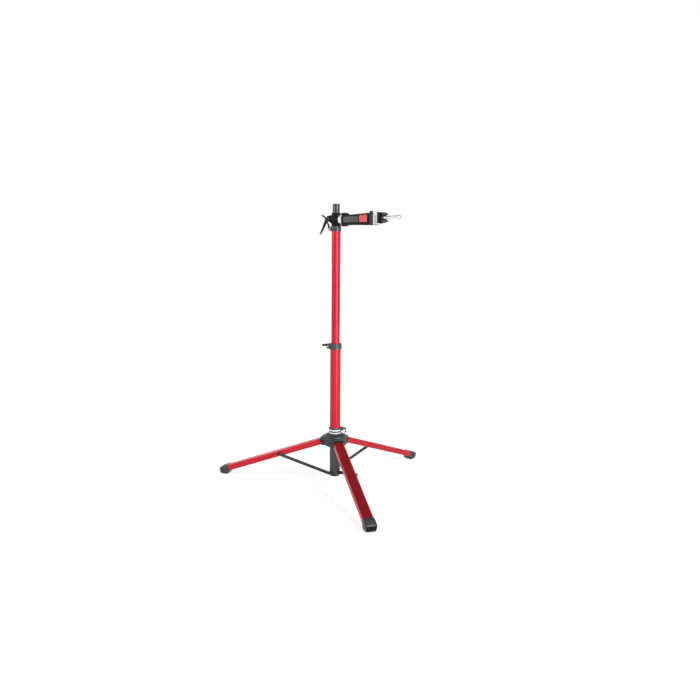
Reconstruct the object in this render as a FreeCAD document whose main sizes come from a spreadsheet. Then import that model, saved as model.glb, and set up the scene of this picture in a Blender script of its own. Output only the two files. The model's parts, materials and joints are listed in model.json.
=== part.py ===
import FreeCAD, Part
import math
import os
import re
import Sketcher

# Folding bicycle repair stand, in millimetres, +Z up.
# The origin is on the floor, on the axis of the mast; the clamp arm points along +X.
# Three legs hang from a hub that slides on the mast; three flat braces tie them to the foot of the mast.

SIZES = {
    # mast tubes
    "tube_radius": 29.5,
    "tube_wall": 2.5,
    "upper_radius": 24,
    "upper_wall": 2.5,
    "top_radius": 19.5,
    "top_wall": 2,
    "fit_gap": 0.08,
    "column_foot": 54,
    "spigot_depth": 43,
    "spigot_radius": 28.3,
    "glide_height": 60,
    "upper_foot": 500,
    "top_length": 521.5,
    "post_height": 81.5,
    "collar_lip": 6,
    # hub and legs
    "hub_height": 48,
    "hub_core": 66,
    "lobe_reach": 79,
    "lobe_width": 68,
    "liner_radius": 31,
    "pivot_reach": 62,
    "pivot_height": 250,
    "pin_radius": 4,
    "leg_slope": 20,
    "leg_width": 57,
    "leg_depth": 34,
    "leg_wall": 2.5,
    "leg_corner": 8,
    "leg_start": 18,
    "foot_rise": 19.14,
    "cap_length": 57,
    "cap_wall": 20,
    "sole_length": 39,
    "cap_width": 63,
    # braces
    "brace_joint": 282,
    "brace_depth": 17,
    "brace_thick": 4.5,
    "brace_side": 30,
    "brace_foot": 60,
    # collars
    "mid_foot": 770,
    "mid_height": 34,
    "mid_radius": 35,
    "top_collar_height": 29,
    "top_collar_radius": 27.5,
    # head and arm
    "arm_height": 1470,
    "bracket_foot": 32,
    "bracket_height": 68,
    "bracket_radius": 25,
    "drum_radius": 27,
    "head_pin": 48,
    "drum_start": 38,
    "draw_radius": 6,
    "drum_length": 20,
    "arm_end": 262,
    "arm_rise": 24.5,
    "arm_drop": 34.5,
    "arm_near": 20,
    "arm_far": 16,
    "cover_thick": 20,
    "jaw_half": 35,
    "front_half": 27,
    "jaw_side": 20,
    "tube_centre": 299.5,
    "pad_radius": 15.8,
    "pad_gap": 9,
    "jaw_face": 13.5,
    "jaw_thick": 8.6,
    "carriage_thick": 8,
    "pad_skin": 2.6,
    "bar_side": 24,
    "bar_thick": 8,
    "bar_half": 11,
    "bar_length": 172,
    "slide_gap": 0.4,
    "screw_radius": 8.2,
    "screw_length": 128,
    "knob_length": 34.6,
    "knob_radius": 27,
}

# Places that follow from the sizes above.
PLACES = {
    "column_top": "pivot_height + 2",
    "hub_foot": "pivot_height - hub_height / 2",
    "hub_neck": "pivot_height + 46",
    "neck_top": "hub_neck + 31",
    "lower_top": "mid_foot + mid_height - collar_lip",
    "top_collar_foot": "arm_height - bracket_foot - top_collar_height",
    "upper_top": "arm_height - bracket_foot - collar_lip",
    "top_end": "arm_height + post_height",
    "top_foot": "top_end - top_length",
    "cap_end": "(pivot_height - foot_rise) / sin(leg_slope)",
    "leg_end": "cap_end - cap_wall",
    "cap_start": "cap_end - cap_length",
    "cap_heel": "cap_end - sole_length",
    "drum_end": "drum_start + drum_length",
    "arm_start": "drum_end + 2",
    "carriage_start": "tube_centre + jaw_face + jaw_thick + slide_gap",
    "carriage_end": "carriage_start + carriage_thick",
    "knob_start": "carriage_end + slide_gap",
    "knob_end": "knob_start + knob_length",
    "bar_start": "carriage_start - bar_length",
    "screw_start": "carriage_start - slide_gap - 2.6",
    "screw_end": "screw_start + screw_length",
}

# Directions about the mast, in degrees from +X.
LEG_AZIMUTHS = (-30, 90, 210)
HUB_LEVER_SIDE = 46
MID_LEVER_SIDE = 226
TOP_LEVER_SIDE = 225

doc = FreeCAD.newDocument("repair_stand")
sheet = doc.addObject("Spreadsheet::Sheet", "Sizes")
for row, (alias, number) in enumerate(SIZES.items(), start=1):
    sheet.set("A%d" % row, alias)
    sheet.set("B%d" % row, str(number))
    sheet.setAlias("B%d" % row, alias)
doc.recompute()

pieces = []


def full(text):
    """Write the plain names in a formula as cells of the size table."""
    def swap(match):
        word = match.group(0)
        if word in PLACES:
            return "(" + full(PLACES[word]) + ")"
        return "Sizes." + word if word in SIZES else word
    return re.sub(r"[a-z][a-z_]*", swap, str(text))


def value(text):
    return float(sheet.evalExpression(full(text)))


def bind(thing, prop, text):
    thing.setExpression(prop, full(text))


def new_body(name):
    body = doc.addObject("PartDesign::Body", name)
    body.Label = name
    pieces.append(body)
    return body


def place(body, x="0", y="0", z="0", turn=0, tilt=0):
    """Turn a piece about +Z after tilting its X axis down, then move it."""
    about_z = FreeCAD.Rotation(FreeCAD.Vector(0, 0, 1), turn)
    about_y = FreeCAD.Rotation(FreeCAD.Vector(0, 1, 0), tilt)
    spot = FreeCAD.Vector(value(x), value(y), value(z))
    body.Placement = FreeCAD.Placement(spot, about_z.multiply(about_y))
    bind(body, "Placement.Base.x", x)
    bind(body, "Placement.Base.y", y)
    bind(body, "Placement.Base.z", z)


def flat(body, role, lift="0"):
    """Sketch on an origin plane, lifted along its normal (+Z, -Y or +X)."""
    sketch = body.newObject("Sketcher::SketchObject", body.Name + "_outline")
    for feature in body.Origin.OriginFeatures:
        if feature.Role == role:
            sketch.AttachmentSupport = [(feature, "")]
    sketch.MapMode = "FlatFace"
    bind(sketch, "AttachmentOffset.Base.z", lift)
    return sketch


def dimension(sketch, kind, index, text, point=None):
    number = value(text)
    if point is None:
        row = sketch.addConstraint(Sketcher.Constraint(kind, index, number))
    else:
        row = sketch.addConstraint(Sketcher.Constraint(kind, index, point, number))
    bind(sketch, "Constraints[%d]" % row, text)


def circle(sketch, x, y, radius):
    spot = FreeCAD.Vector(value(x), value(y), 0)
    index = sketch.addGeometry(Part.Circle(spot, FreeCAD.Vector(0, 0, 1), value(radius)), False)
    dimension(sketch, "DistanceX", index, x, 3)
    dimension(sketch, "DistanceY", index, y, 3)
    dimension(sketch, "Radius", index, radius)


def polygon(sketch, points):
    spots = [FreeCAD.Vector(value(x), value(y), 0) for x, y in points]
    count = len(spots)
    first = sketch.GeometryCount
    for k in range(count):
        sketch.addGeometry(Part.LineSegment(spots[k], spots[(k + 1) % count]), False)
    for k in range(count):
        after = first + (k + 1) % count
        sketch.addConstraint(Sketcher.Constraint("Coincident", first + k, 2, after, 1))
    for k, (x, y) in enumerate(points):
        dimension(sketch, "DistanceX", first + k, x, 1)
        dimension(sketch, "DistanceY", first + k, y, 1)


def box_points(x0, x1, y0, y1):
    return [(x0, y0), (x1, y0), (x1, y1), (x0, y1)]


def feature_on(body, kind, sketch, length):
    feature = body.newObject(kind, body.Name + "_" + kind.split("::")[1].lower())
    feature.Profile = sketch
    bind(feature, "Length", length)
    sketch.Visibility = False
    return feature


def pad(body, sketch, length):
    feature_on(body, "PartDesign::Pad", sketch, length)


def cut(body, sketch, length):
    """Remove material along the normal of the sketch."""
    feature = feature_on(body, "PartDesign::Pocket", sketch, length)
    feature.Reversed = True


def turned(body, points):
    """Solid of revolution about the local Z axis, from an outline of (radius, height)."""
    sketch = flat(body, "XZ_Plane")
    polygon(sketch, points)
    feature = body.newObject("PartDesign::Revolution", body.Name + "_turn")
    feature.Profile = sketch
    feature.ReferenceAxis = (sketch, ["V_Axis"])
    feature.Angle = 360


def three_times(body, features):
    """Repeat features three times round the local Z axis."""
    pattern = body.newObject("PartDesign::PolarPattern", body.Name + "_pattern")
    pattern.Originals = features
    for feature in body.Origin.OriginFeatures:
        if feature.Role == "Z_Axis":
            pattern.Axis = (feature, [""])
    pattern.Angle = 360
    pattern.Occurrences = 3
    body.Tip = pattern


def dress(body, kind, amount, choose):
    """Fillet or chamfer the edges of the newest feature that a test picks out."""
    doc.recompute()
    base = body.Tip
    names = []
    for index, edge in enumerate(base.Shape.Edges, start=1):
        if choose(edge):
            names.append("Edge%d" % index)
    if not names:
        raise RuntimeError(body.Name + ": no edge to dress")
    feature = body.newObject("PartDesign::" + kind, body.Name + "_" + kind.lower())
    feature.Base = (base, names)
    bind(feature, "Radius" if kind == "Fillet" else "Size", amount)


def straight_along(edge, axis):
    """True for a straight edge parallel to one of the local axes."""
    if not isinstance(edge.Curve, Part.Line):
        return False
    direction = edge.Curve.Direction
    return abs(abs(direction.dot(axis)) - 1) < 1e-6


X = FreeCAD.Vector(1, 0, 0)
Y = FreeCAD.Vector(0, 1, 0)
Z = FreeCAD.Vector(0, 0, 1)


def middle(edge):
    return edge.CenterOfMass


def ring(name, outer, inner, foot, height):
    """Plain tube or bush standing on the mast axis."""
    body = new_body(name)
    sketch = flat(body, "XY_Plane")
    circle(sketch, "0", "0", outer)
    circle(sketch, "0", "0", inner)
    pad(body, sketch, height)
    place(body, z=foot)
    return body


def bar_along_y(body, x, z, radius, y0, y1):
    """Round bar along +Y of the local frame, from y0 to y1."""
    sketch = flat(body, "XZ_Plane", "-(%s)" % y1)
    circle(sketch, x, z, radius)
    pad(body, sketch, "(%s)-(%s)" % (y1, y0))
    return body.Tip


def bore_along_y(body, x, z, radius, y0, y1):
    sketch = flat(body, "XZ_Plane", "-(%s)" % y1)
    circle(sketch, x, z, radius)
    cut(body, sketch, "(%s)-(%s)" % (y1, y0))
    return body.Tip


def bar_along_x(body, y, z, radius, x0, x1):
    sketch = flat(body, "YZ_Plane", x0)
    circle(sketch, y, z, radius)
    pad(body, sketch, "(%s)-(%s)" % (x1, x0))


def bore_along_x(body, y, z, radius, x0, x1):
    sketch = flat(body, "YZ_Plane", x0)
    circle(sketch, y, z, radius)
    cut(body, sketch, "(%s)-(%s)" % (x1, x0))


def side_plate(body, points, y0, y1):
    """Plate of a given outline in the local XZ plane, from y0 to y1."""
    sketch = flat(body, "XZ_Plane", "-(%s)" % y1)
    polygon(sketch, points)
    pad(body, sketch, "(%s)-(%s)" % (y1, y0))


def side_cut(body, points, y0, y1):
    sketch = flat(body, "XZ_Plane", "-(%s)" % y1)
    polygon(sketch, points)
    cut(body, sketch, "(%s)-(%s)" % (y1, y0))


def mast_foot():
    """Dark column below the hub, its plug, and the three bolts the braces turn on."""
    bolt_height = "brace_foot - column_foot"
    column = ring("base_column", "tube_radius", "tube_radius - tube_wall", "column_foot",
                  "column_top - column_foot")
    sketch = flat(column, "XY_Plane", "column_top - column_foot - spigot_depth")
    circle(sketch, "0", "0", "spigot_radius + 0.02")
    cut(column, sketch, "spigot_depth")
    hole = bore_along_y(column, "0", bolt_height, "pin_radius + 0.05", "5", "tube_radius + 5")
    three_times(column, [hole])
    place(column, z="column_foot", turn=LEG_AZIMUTHS[0])

    plug = new_body("base_plug")
    turned(plug, [("0", "-7"), ("tube_radius - 7", "-7"), ("tube_radius - 1", "-4"), ("tube_radius", "0"),
                  ("tube_radius - tube_wall", "0"), ("tube_radius - tube_wall", "28"), ("0", "28")])
    hole = bore_along_y(plug, "0", bolt_height, "pin_radius", "7", "tube_radius + 5")
    three_times(plug, [hole])
    place(plug, z="column_foot", turn=LEG_AZIMUTHS[0])

    bolts = new_body("brace_foot_bolts")
    outer = "brace_side + brace_thick"
    shank = bar_along_y(bolts, "0", "0", "pin_radius", "8", outer + " + 0.4")
    head = bar_along_y(bolts, "0", "0", "pin_radius * 1.9", outer + " + 0.3", outer + " + 4.3")
    three_times(bolts, [shank, head])
    place(bolts, z="brace_foot", turn=LEG_AZIMUTHS[0])


def lower_mast():
    tube = new_body("lower_tube")
    inner = "tube_radius - tube_wall"
    height = "lower_top - column_top + spigot_depth"
    turned(tube, [(inner, "0"), ("spigot_radius", "0"), ("spigot_radius", "spigot_depth"),
                  ("tube_radius", "spigot_depth"), ("tube_radius", height), (inner, height)])
    place(tube, z="column_top - spigot_depth")
    ring("mid_liner", inner, "upper_radius + fit_gap", "lower_top - 58", "58")

    collar = new_body("mid_collar")
    seat = "lower_top - mid_foot"
    turned(collar, [("tube_radius", "0"), ("mid_radius", "0"), ("mid_radius", "mid_height - 2"),
                    ("mid_radius - 2", "mid_height"), ("upper_radius + 0.5", "mid_height"),
                    ("upper_radius + 0.5", seat), ("tube_radius", seat)])
    add_cheeks(collar, "mid_radius - 3", "mid_radius + 15", "3", "mid_height - 4", "mid_radius + 8",
               "17", "12")
    place(collar, z="mid_foot", turn=MID_LEVER_SIDE)
    cheek_pin("mid_collar_pin", "mid_radius + 8", "17", "12", "mid_foot", MID_LEVER_SIDE)
    lever = cam_lever("mid_collar_lever", MID_LEVER, "11.6")
    place_radial(lever, "mid_radius + 8", "mid_foot + 17", MID_LEVER_SIDE)


def add_cheeks(body, x0, x1, z0, z1, pin_x, pin_z, half):
    """Two cheeks on local +X that hold a cam lever between them, with the bore for its pin."""
    for side in (-1, 1):
        near = "%s" % half if side > 0 else "-(%s) - 4" % half
        far = "%s + 4" % half if side > 0 else "-(%s)" % half
        side_plate(body, [(x0, z0), (x1 + " - 4", z0), (x1, z0 + " + 4"), (x1, z1 + " - 4"),
                          (x1 + " - 4", z1), (x0, z1)], near, far)
    bore_along_y(body, pin_x, pin_z, "3", "-(%s) - 5" % half, "%s + 5" % half)


def place_radial(body, reach, height, turn):
    """Stand a piece at a distance from the mast axis in a given direction."""
    about = math.radians(turn)
    place(body, "(%s) * %.6f" % (reach, math.cos(about)), "(%s) * %.6f" % (reach, math.sin(about)),
          height, turn=turn)


def cheek_pin(name, pin_x, pin_z, half, foot, turn):
    pin = new_body(name)
    bar_along_y(pin, "0", "0", "3", "-(%s) - 4" % half, "%s + 4" % half)
    bar_along_y(pin, "0", "0", "4.5", "%s + 4" % half, "%s + 6" % half)
    place_radial(pin, pin_x, "%s + %s" % (foot, pin_z), turn)


MID_LEVER = [(-1, 7), (10, 12), (22, 12), (31, 8), (32, 3), (30, -2), (20, 2), (10, 1), (4, -6)]
TOP_LEVER = [(8, -4), (11, 20), (18, 42), (28, 57), (43, 68), (44, 72), (41, 74), (26, 67), (13, 50),
             (4, 26), (-3, 8)]
HEAD_LEVER = [(-2, 7), (6, 11), (16, 10), (26, 3), (36, -10), (48, -31), (62, -55), (78, -78), (79, -83),
              (74, -83), (57, -62), (42, -38), (31, -21), (21, -9), (12, -5), (4, -6)]
HUB_LEVER = [(-2, 8), (9, 7), (15, 4), (19, -2), (20, -9), (18, -16), (13, -22), (9, -23), (8, -19),
             (12, -17), (14, -12), (14, -6), (11, -1), (6, 1), (2, -7)]


def cam_lever(name, outline, half):
    """Lever with a round cam about its pin; the outline is drawn outward (+X) and up (+Z)."""
    lever = new_body(name)
    low = "-(%s) + 0.3" % half
    high = "%s - 0.3" % half
    bar_along_y(lever, "0", "0", "7.5", low, high)
    side_plate(lever, [(str(x), str(z)) for x, z in outline], low, high)
    bore_along_y(lever, "0", "0", "3.06", low + " - 1", high + " + 1")
    return lever


def hub():
    """Sliding hub: three lobes with slots for the leg roots, liner, neck and its clamp collar."""
    body = new_body("leg_hub")
    neck = "hub_neck - hub_foot"
    turned(body, [("0", "0"), ("hub_core - 8", "0"), ("hub_core", "7"), ("hub_core", dome("hub_core + 9")),
                  ("hub_core - 6", dome("hub_core - 6")), ("liner_radius + 4", neck), ("0", neck)])
    sketch = flat(body, "XY_Plane")
    half = "lobe_width / 2"
    polygon(sketch, [("0", "-" + half), ("lobe_reach - 8", "-" + half), ("lobe_reach", "-%s + 10" % half),
                     ("lobe_reach", half + " - 10"), ("lobe_reach - 8", half), ("0", half)])
    pad(body, sketch, "hub_height")
    three_times(body, [body.Tip])
    top = value("hub_height")
    dress(body, "Chamfer", "4", lambda edge: lobe_edge(edge, top))
    sketch = flat(body, "XY_Plane", "hub_height")
    circle(sketch, "0", "0", "liner_radius + 2.5")
    pad(body, sketch, "hub_neck - hub_foot - hub_height")
    sketch = flat(body, "XY_Plane")
    circle(sketch, "0", "0", "liner_radius")
    cut(body, sketch, "hub_neck - hub_foot")
    depth = "pivot_height - hub_foot + leg_depth / 2 + 1.5"
    side_cut(body, box_points("pivot_reach - leg_depth / 2 - 1.5", "lobe_reach + 5", "-1", depth),
             "-leg_width / 2 - 0.3", "leg_width / 2 + 0.3")
    slot = body.Tip
    hole = bore_along_y(body, "pivot_reach", "pivot_height - hub_foot", "pin_radius",
                        "-lobe_width / 2 - 1", "lobe_width / 2 + 1")
    seats = []
    for y0, y1 in (("lobe_width / 2", "lobe_width / 2 + 9"), ("-lobe_width / 2 - 9", "-lobe_width / 2")):
        seats.append(bore_along_y(body, "pivot_reach", "pivot_height - hub_foot", "2 * pin_radius", y0, y1))
    three_times(body, [slot, hole] + seats)
    place(body, z="hub_foot", turn=LEG_AZIMUTHS[0])

    pins = new_body("leg_pivot_pins")
    shank = bar_along_y(pins, "pivot_reach", "0", "pin_radius", "-lobe_width / 2", "lobe_width / 2")
    head = bar_along_y(pins, "pivot_reach", "0", "pin_radius + 3.5", "lobe_width / 2", "lobe_width / 2 + 3")
    nut = bar_along_y(pins, "pivot_reach", "0", "pin_radius + 3", "-lobe_width / 2 - 3", "-lobe_width / 2")
    three_times(pins, [shank, head, nut])
    place(pins, z="pivot_height", turn=LEG_AZIMUTHS[0])

    ring("hub_liner", "liner_radius", "tube_radius + fit_gap", "hub_foot", "neck_top - hub_foot")
    band = new_body("hub_collar_band")
    turned(band, [("liner_radius", "0"), ("liner_radius + 3", "0"), ("liner_radius + 3", "8"),
                  ("liner_radius + 0.6", "8.4"), ("liner_radius + 0.6", "12.4"),
                  ("liner_radius + 3", "12.8"), ("liner_radius + 3", "neck_top - hub_neck - 8"),
                  ("liner_radius", "neck_top - hub_neck - 8")])
    place(band, z="hub_neck")
    collar = new_body("hub_collar_ring")
    turned(collar, [("liner_radius", "0"), ("liner_radius + 5", "0"), ("liner_radius + 5", "6"),
                    ("liner_radius + 3.5", "8"), ("liner_radius", "8")])
    reach = "liner_radius + 13.6"
    add_cheeks(collar, "liner_radius + 3.2", "liner_radius + 18", "-9", "8", reach, "-1", "8")
    place(collar, z="neck_top - 8", turn=HUB_LEVER_SIDE)
    cheek_pin("hub_collar_pin", reach, "(-1)", "8", "neck_top - 8", HUB_LEVER_SIDE)
    lever = cam_lever("hub_collar_lever", HUB_LEVER, "8")
    place_radial(lever, reach, "neck_top - 9", HUB_LEVER_SIDE)


def dome(reach):
    """Height of the hub's sloping top at a distance from the mast axis, above the foot of the hub."""
    return "hub_neck - hub_foot - 0.5 * (%s - liner_radius - 4)" % reach


def lobe_edge(edge, top):
    """True for the straight rim edges of the lobes, top and bottom, clear of the round core."""
    spot = middle(edge)
    level = abs(spot.z) < 0.01 or abs(spot.z - top) < 0.01
    outside = math.hypot(spot.x, spot.y) > value("hub_core") + 2
    return level and outside and isinstance(edge.Curve, Part.Line)


def sole(along):
    """Height of the floor below the leg's centre line, in the leg's own frame."""
    return "(%s) * tan(leg_slope) - pivot_height / cos(leg_slope)" % along


def cap_rim(edge):
    """True for the outer edges of a foot cap along its top and front, on both sides."""
    spot = middle(edge)
    on_side = abs(abs(spot.y) - value("cap_width") / 2) < 0.01
    return on_side and isinstance(edge.Curve, Part.Line) and (spot.z > 14 or spot.x > value("cap_end"))


def leg(number, azimuth):
    half_w = "leg_width / 2"
    half_d = "leg_depth / 2"
    inner_w = "leg_width / 2 - leg_wall"
    inner_d = "leg_depth / 2 - leg_wall"

    tube = new_body("leg_tube_%d" % number)
    sketch = flat(tube, "YZ_Plane", "leg_start")
    polygon(sketch, box_points("-" + half_w, half_w, "-" + half_d, half_d))
    pad(tube, sketch, "leg_end - leg_start")
    dress(tube, "Fillet", "leg_corner", lambda edge: straight_along(edge, X))
    sketch = flat(tube, "YZ_Plane", "leg_start")
    polygon(sketch, box_points("-(%s)" % inner_w, inner_w, "-(%s)" % inner_d, inner_d))
    cut(tube, sketch, "leg_end - leg_start")
    bore_along_y(tube, "brace_joint", "0", "pin_radius", "0", half_w + " + 1")

    root = new_body("leg_root_%d" % number)
    bar_along_y(root, "0", "0", half_d, "-" + half_w, half_w)
    side_plate(root, box_points("0", "leg_start", "-" + half_d, half_d), "-" + half_w, half_w)
    side_plate(root, box_points("leg_start - 1", "leg_start + 34", "-(%s) + 2" % inner_d, inner_d + " - 2"),
               "-(%s) + 2" % inner_w, inner_w + " - 2")
    bore_along_y(root, "0", "0", "pin_radius + 0.06", "-%s - 1" % half_w, half_w + " + 1")

    spacer = new_body("brace_spacer_%d" % number)
    bar_along_y(spacer, "brace_joint", "0", "pin_radius", half_w + " - leg_wall - 3", half_w)
    bar_along_y(spacer, "brace_joint", "0", "pin_radius + 3.5", half_w, "brace_side - 0.3")

    cap = new_body("foot_cap_%d" % number)
    edge_w = "cap_width / 2"
    side_plate(cap, [("cap_start", half_d + " + 1.5"), ("cap_start", "-(%s) - 1.5" % half_d),
                     ("cap_heel - 6", sole("cap_heel") + " + 3"), ("cap_heel", sole("cap_heel")),
                     ("cap_end", sole("cap_end")), ("cap_end + 3", sole("cap_end") + " + 6"),
                     ("cap_end - 1", half_d + " - 2"), ("cap_end - 8", half_d + " + 3"),
                     ("cap_end - 20", half_d + " + 2.5")], "-" + edge_w, edge_w)
    sketch = flat(cap, "YZ_Plane", "cap_start")
    polygon(sketch, box_points("-" + half_w, half_w, "-" + half_d, half_d))
    cut(cap, sketch, "leg_end - cap_start")
    dress(cap, "Fillet", "3", cap_rim)

    for piece in (tube, root, spacer, cap):
        about = math.radians(azimuth)
        place(piece, "pivot_reach * %.6f" % math.cos(about), "pivot_reach * %.6f" % math.sin(about),
              "pivot_height", turn=azimuth, tilt=value("leg_slope"))


def brace(number, azimuth):
    """Flat bar from the foot of the mast to the side of a leg, with the bolt head at its outer end."""
    joint_x = value("pivot_reach + brace_joint * cos(leg_slope)")
    joint_z = value("pivot_height - brace_joint * sin(leg_slope) - brace_foot")
    rise = math.degrees(math.atan2(joint_z, joint_x))
    y0 = "brace_side"
    y1 = "brace_side + brace_thick"
    half = "brace_depth / 2"
    span = "sqrt((pivot_reach + brace_joint * cos(leg_slope))^2 + "
    span += "(pivot_height - brace_joint * sin(leg_slope) - brace_foot)^2)"
    bar = new_body("brace_%d" % number)
    side_plate(bar, box_points("0", span, "-" + half, half), y0, y1)
    bar_along_y(bar, "0", "0", half, y0, y1)
    bar_along_y(bar, span, "0", half, y0, y1)
    bore_along_y(bar, "0", "0", "pin_radius + 0.06", "brace_side - 1", y1 + " + 1")
    bore_along_y(bar, span, "0", "pin_radius", "brace_side - 1", y1 + " + 1")
    bolt = new_body("brace_bolt_%d" % number)
    bar_along_y(bolt, span, "0", "pin_radius", y0, y1)
    bar_along_y(bolt, span, "0", "pin_radius * 1.9", y1, y1 + " + 4")
    for piece in (bar, bolt):
        place(piece, z="brace_foot", turn=azimuth, tilt=-rise)


def upper_mast():
    tube = new_body("upper_tube")
    bore = "upper_radius - upper_wall"
    bead = "glide_height + 0.8"
    turned(tube, [(bore, "0"), ("upper_radius", "0"), ("upper_radius", bead),
                  ("upper_radius + 2", bead + " + 2"), ("upper_radius + 2", bead + " + 4"),
                  ("upper_radius", bead + " + 6"),
                  ("upper_radius", "upper_top - upper_foot"), (bore, "upper_top - upper_foot")])
    place(tube, z="upper_foot")
    ring("upper_glide", "tube_radius - tube_wall - 0.1", "upper_radius + 0.06", "upper_foot + 0.4",
         "glide_height")
    plug = new_body("upper_plug")
    turned(plug, [("8", "-6"), ("upper_radius + 2", "-6"), ("upper_radius + 2", "0"), (bore, "0"),
                  (bore, "20"), ("8", "20")])
    place(plug, z="upper_foot")
    ring("top_liner", bore, "top_radius + fit_gap", "upper_top - 52", "52")
    collar = new_body("top_collar")
    seat = "upper_top - top_collar_foot"
    outer = "top_collar_radius"
    turned(collar, [("upper_radius", "0"), (outer, "0"), (outer, "top_collar_height - 3"),
                    (outer + " - 3", "top_collar_height"), ("top_radius + 0.5", "top_collar_height"),
                    ("top_radius + 0.5", seat), ("upper_radius", seat)])
    add_cheeks(collar, outer + " - 3", outer + " + 14", "4", "top_collar_height - 5", outer + " + 8",
               "14", "8")
    place(collar, z="top_collar_foot", turn=TOP_LEVER_SIDE)
    cheek_pin("top_collar_pin", outer + " + 8", "14", "8", "top_collar_foot", TOP_LEVER_SIDE)
    lever = cam_lever("top_collar_lever", TOP_LEVER, "8")
    place_radial(lever, outer + " + 8", "top_collar_foot + 14", TOP_LEVER_SIDE)


def head():
    """Top tube with the fixed half of the head: bracket, polished drum, draw bolt and cam lever."""
    tube = ring("top_tube", "top_radius", "top_radius - top_wall", "top_foot", "top_end - top_foot")
    bore_along_x(tube, "0", "arm_height - top_foot", "draw_radius", "-top_radius - 5", "top_radius + 5")
    ring("top_glide", "upper_radius - upper_wall - 0.1", "top_radius", "top_foot", "40")
    cap = new_body("top_cap")
    turned(cap, [("0", "-12"), ("top_radius - top_wall", "-12"), ("top_radius - top_wall", "0"),
                 ("top_radius", "0"), ("top_radius - 1", "2"), ("0", "2")])
    place(cap, z="top_end")

    bracket = new_body("head_bracket")
    sketch = flat(bracket, "XY_Plane", "-bracket_foot")
    circle(sketch, "0", "0", "bracket_radius")
    pad(bracket, sketch, "bracket_height")
    bar_along_x(bracket, "0", "0", "drum_radius - 3", "0", "drum_start")
    side_plate(bracket, [("-36", "-12"), ("-20", "-24"), ("0", "-24"), ("0", "26"), ("-20", "26"),
                         ("-36", "20")], "-12", "12")
    for side in (("9.3", "13.5"), ("-13.5", "-9.3")):
        bar_along_y(bracket, "-head_pin", "8", "15", side[0], side[1])
        side_plate(bracket, [("-head_pin", "-7"), ("-20", "-20"), ("-20", "26"), ("-head_pin", "23")],
                   side[0], side[1])
    sketch = flat(bracket, "XY_Plane", "-bracket_foot - 1")
    circle(sketch, "0", "0", "top_radius")
    cut(bracket, sketch, "bracket_height + 2")
    bore_along_x(bracket, "0", "0", "draw_radius", "-60", "drum_start + 5")
    bore_along_y(bracket, "-head_pin", "8", "3", "-20", "20")
    place(bracket, z="arm_height")

    drum = new_body("head_drum")
    turned(drum, [("draw_radius", "0"), ("drum_radius - 1.5", "0"), ("drum_radius", "1.5"),
                  ("drum_radius", "drum_end - drum_start - 1.5"),
                  ("drum_radius - 1.5", "drum_end - drum_start"), ("draw_radius", "drum_end - drum_start")])
    place(drum, "drum_start", "0", "arm_height", tilt=90)

    bolt = new_body("draw_bolt")
    bar_along_x(bolt, "0", "0", "draw_radius", "-36", "arm_start + 8")
    bar_along_x(bolt, "0", "0", "draw_radius + 4", "arm_start + 5.6", "arm_start + 11")
    place(bolt, z="arm_height")
    pin = new_body("head_lever_pin")
    bar_along_y(pin, "0", "0", "3", "-13.5", "13.5")
    bar_along_y(pin, "0", "0", "4.5", "13.5", "15.5")
    place(pin, "-head_pin", "0", "arm_height + 8")
    lever = cam_lever("head_lever", HEAD_LEVER, "9.3")
    for side in (-1, 1):
        sketch = flat(lever, "XY_Plane", "-90")
        polygon(sketch, [("24", "%g" % (side * 10)), ("24", "%g" % (side * 9.1)), ("74", "%g" % (side * 3)),
                         ("84", "%g" % (side * 3)), ("84", "%g" % (side * 10))])
        cut(lever, sketch, "110")
    place(lever, "-head_pin", "0", "arm_height + 8", turn=180)


def on_arm(outline):
    """Outline points given as shares of the arm's length, and of its rise above or drop below its axis."""
    points = []
    for share, level in outline:
        side = "arm_rise" if level > 0 else "arm_drop"
        points.append(("arm_start + %g * (arm_end - arm_start)" % share, "%g * %s" % (level, side)))
    return points


def arm_box(x0, x1, z0, z1, gap="0"):
    """Rectangle on the arm, given by shares and made larger all round by a gap."""
    low, high = on_arm([(x0, z0), (x1, z1)])
    return box_points("%s - %s" % (low[0], gap), "%s + %s" % (high[0], gap),
                      "%s - %s" % (low[1], gap), "%s + %s" % (high[1], gap))


ARM_SIDE = [(0, -0.87), (0.12, -0.9), (0.28, -0.86), (0.95, -1), (1, -1), (1, 1.08), (0.945, 1.08),
            (0.6, 0.98), (0.15, 0.88), (0, 0.7)]
YOKE_SIDE = [(-0.04, -0.98), (-0.02, -1.06), (0.02, -1.06), (0.07, -1), (0.13, -0.81), (0.16, 0),
             (0.15, 0.61), (0.12, 1.14), (0.08, 1.39), (-0.01, 1.39), (-0.04, 1.27)]
HOLLOW_SIDE = [(0.025, -0.35), (0.25, -0.64), (0.95, -0.81), (0.95, 0.78), (0.6, 0.7), (0.15, 0.62),
               (0.025, 0.49)]
PANEL_SIDE = [(0.06, -0.29), (0.09, -0.47), (0.6, -0.5), (0.6, 0.58), (0.09, 0.54), (0.06, 0.3)]
COVER_SIDE = [(0.01, -0.43), (0.25, -0.78), (0.95, -0.96), (1, -0.96), (1, 0.98), (0.6, 0.9), (0.15, 0.8),
              (0.01, 0.61)]
GUIDE_SIDE = [(0.375, -0.58), (0.435, -0.75), (1, -0.75), (1, 0.82), (0.435, 0.7), (0.375, 0.49)]
BUTTON = (0.64, 0.911, -0.55, 0.714)


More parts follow.
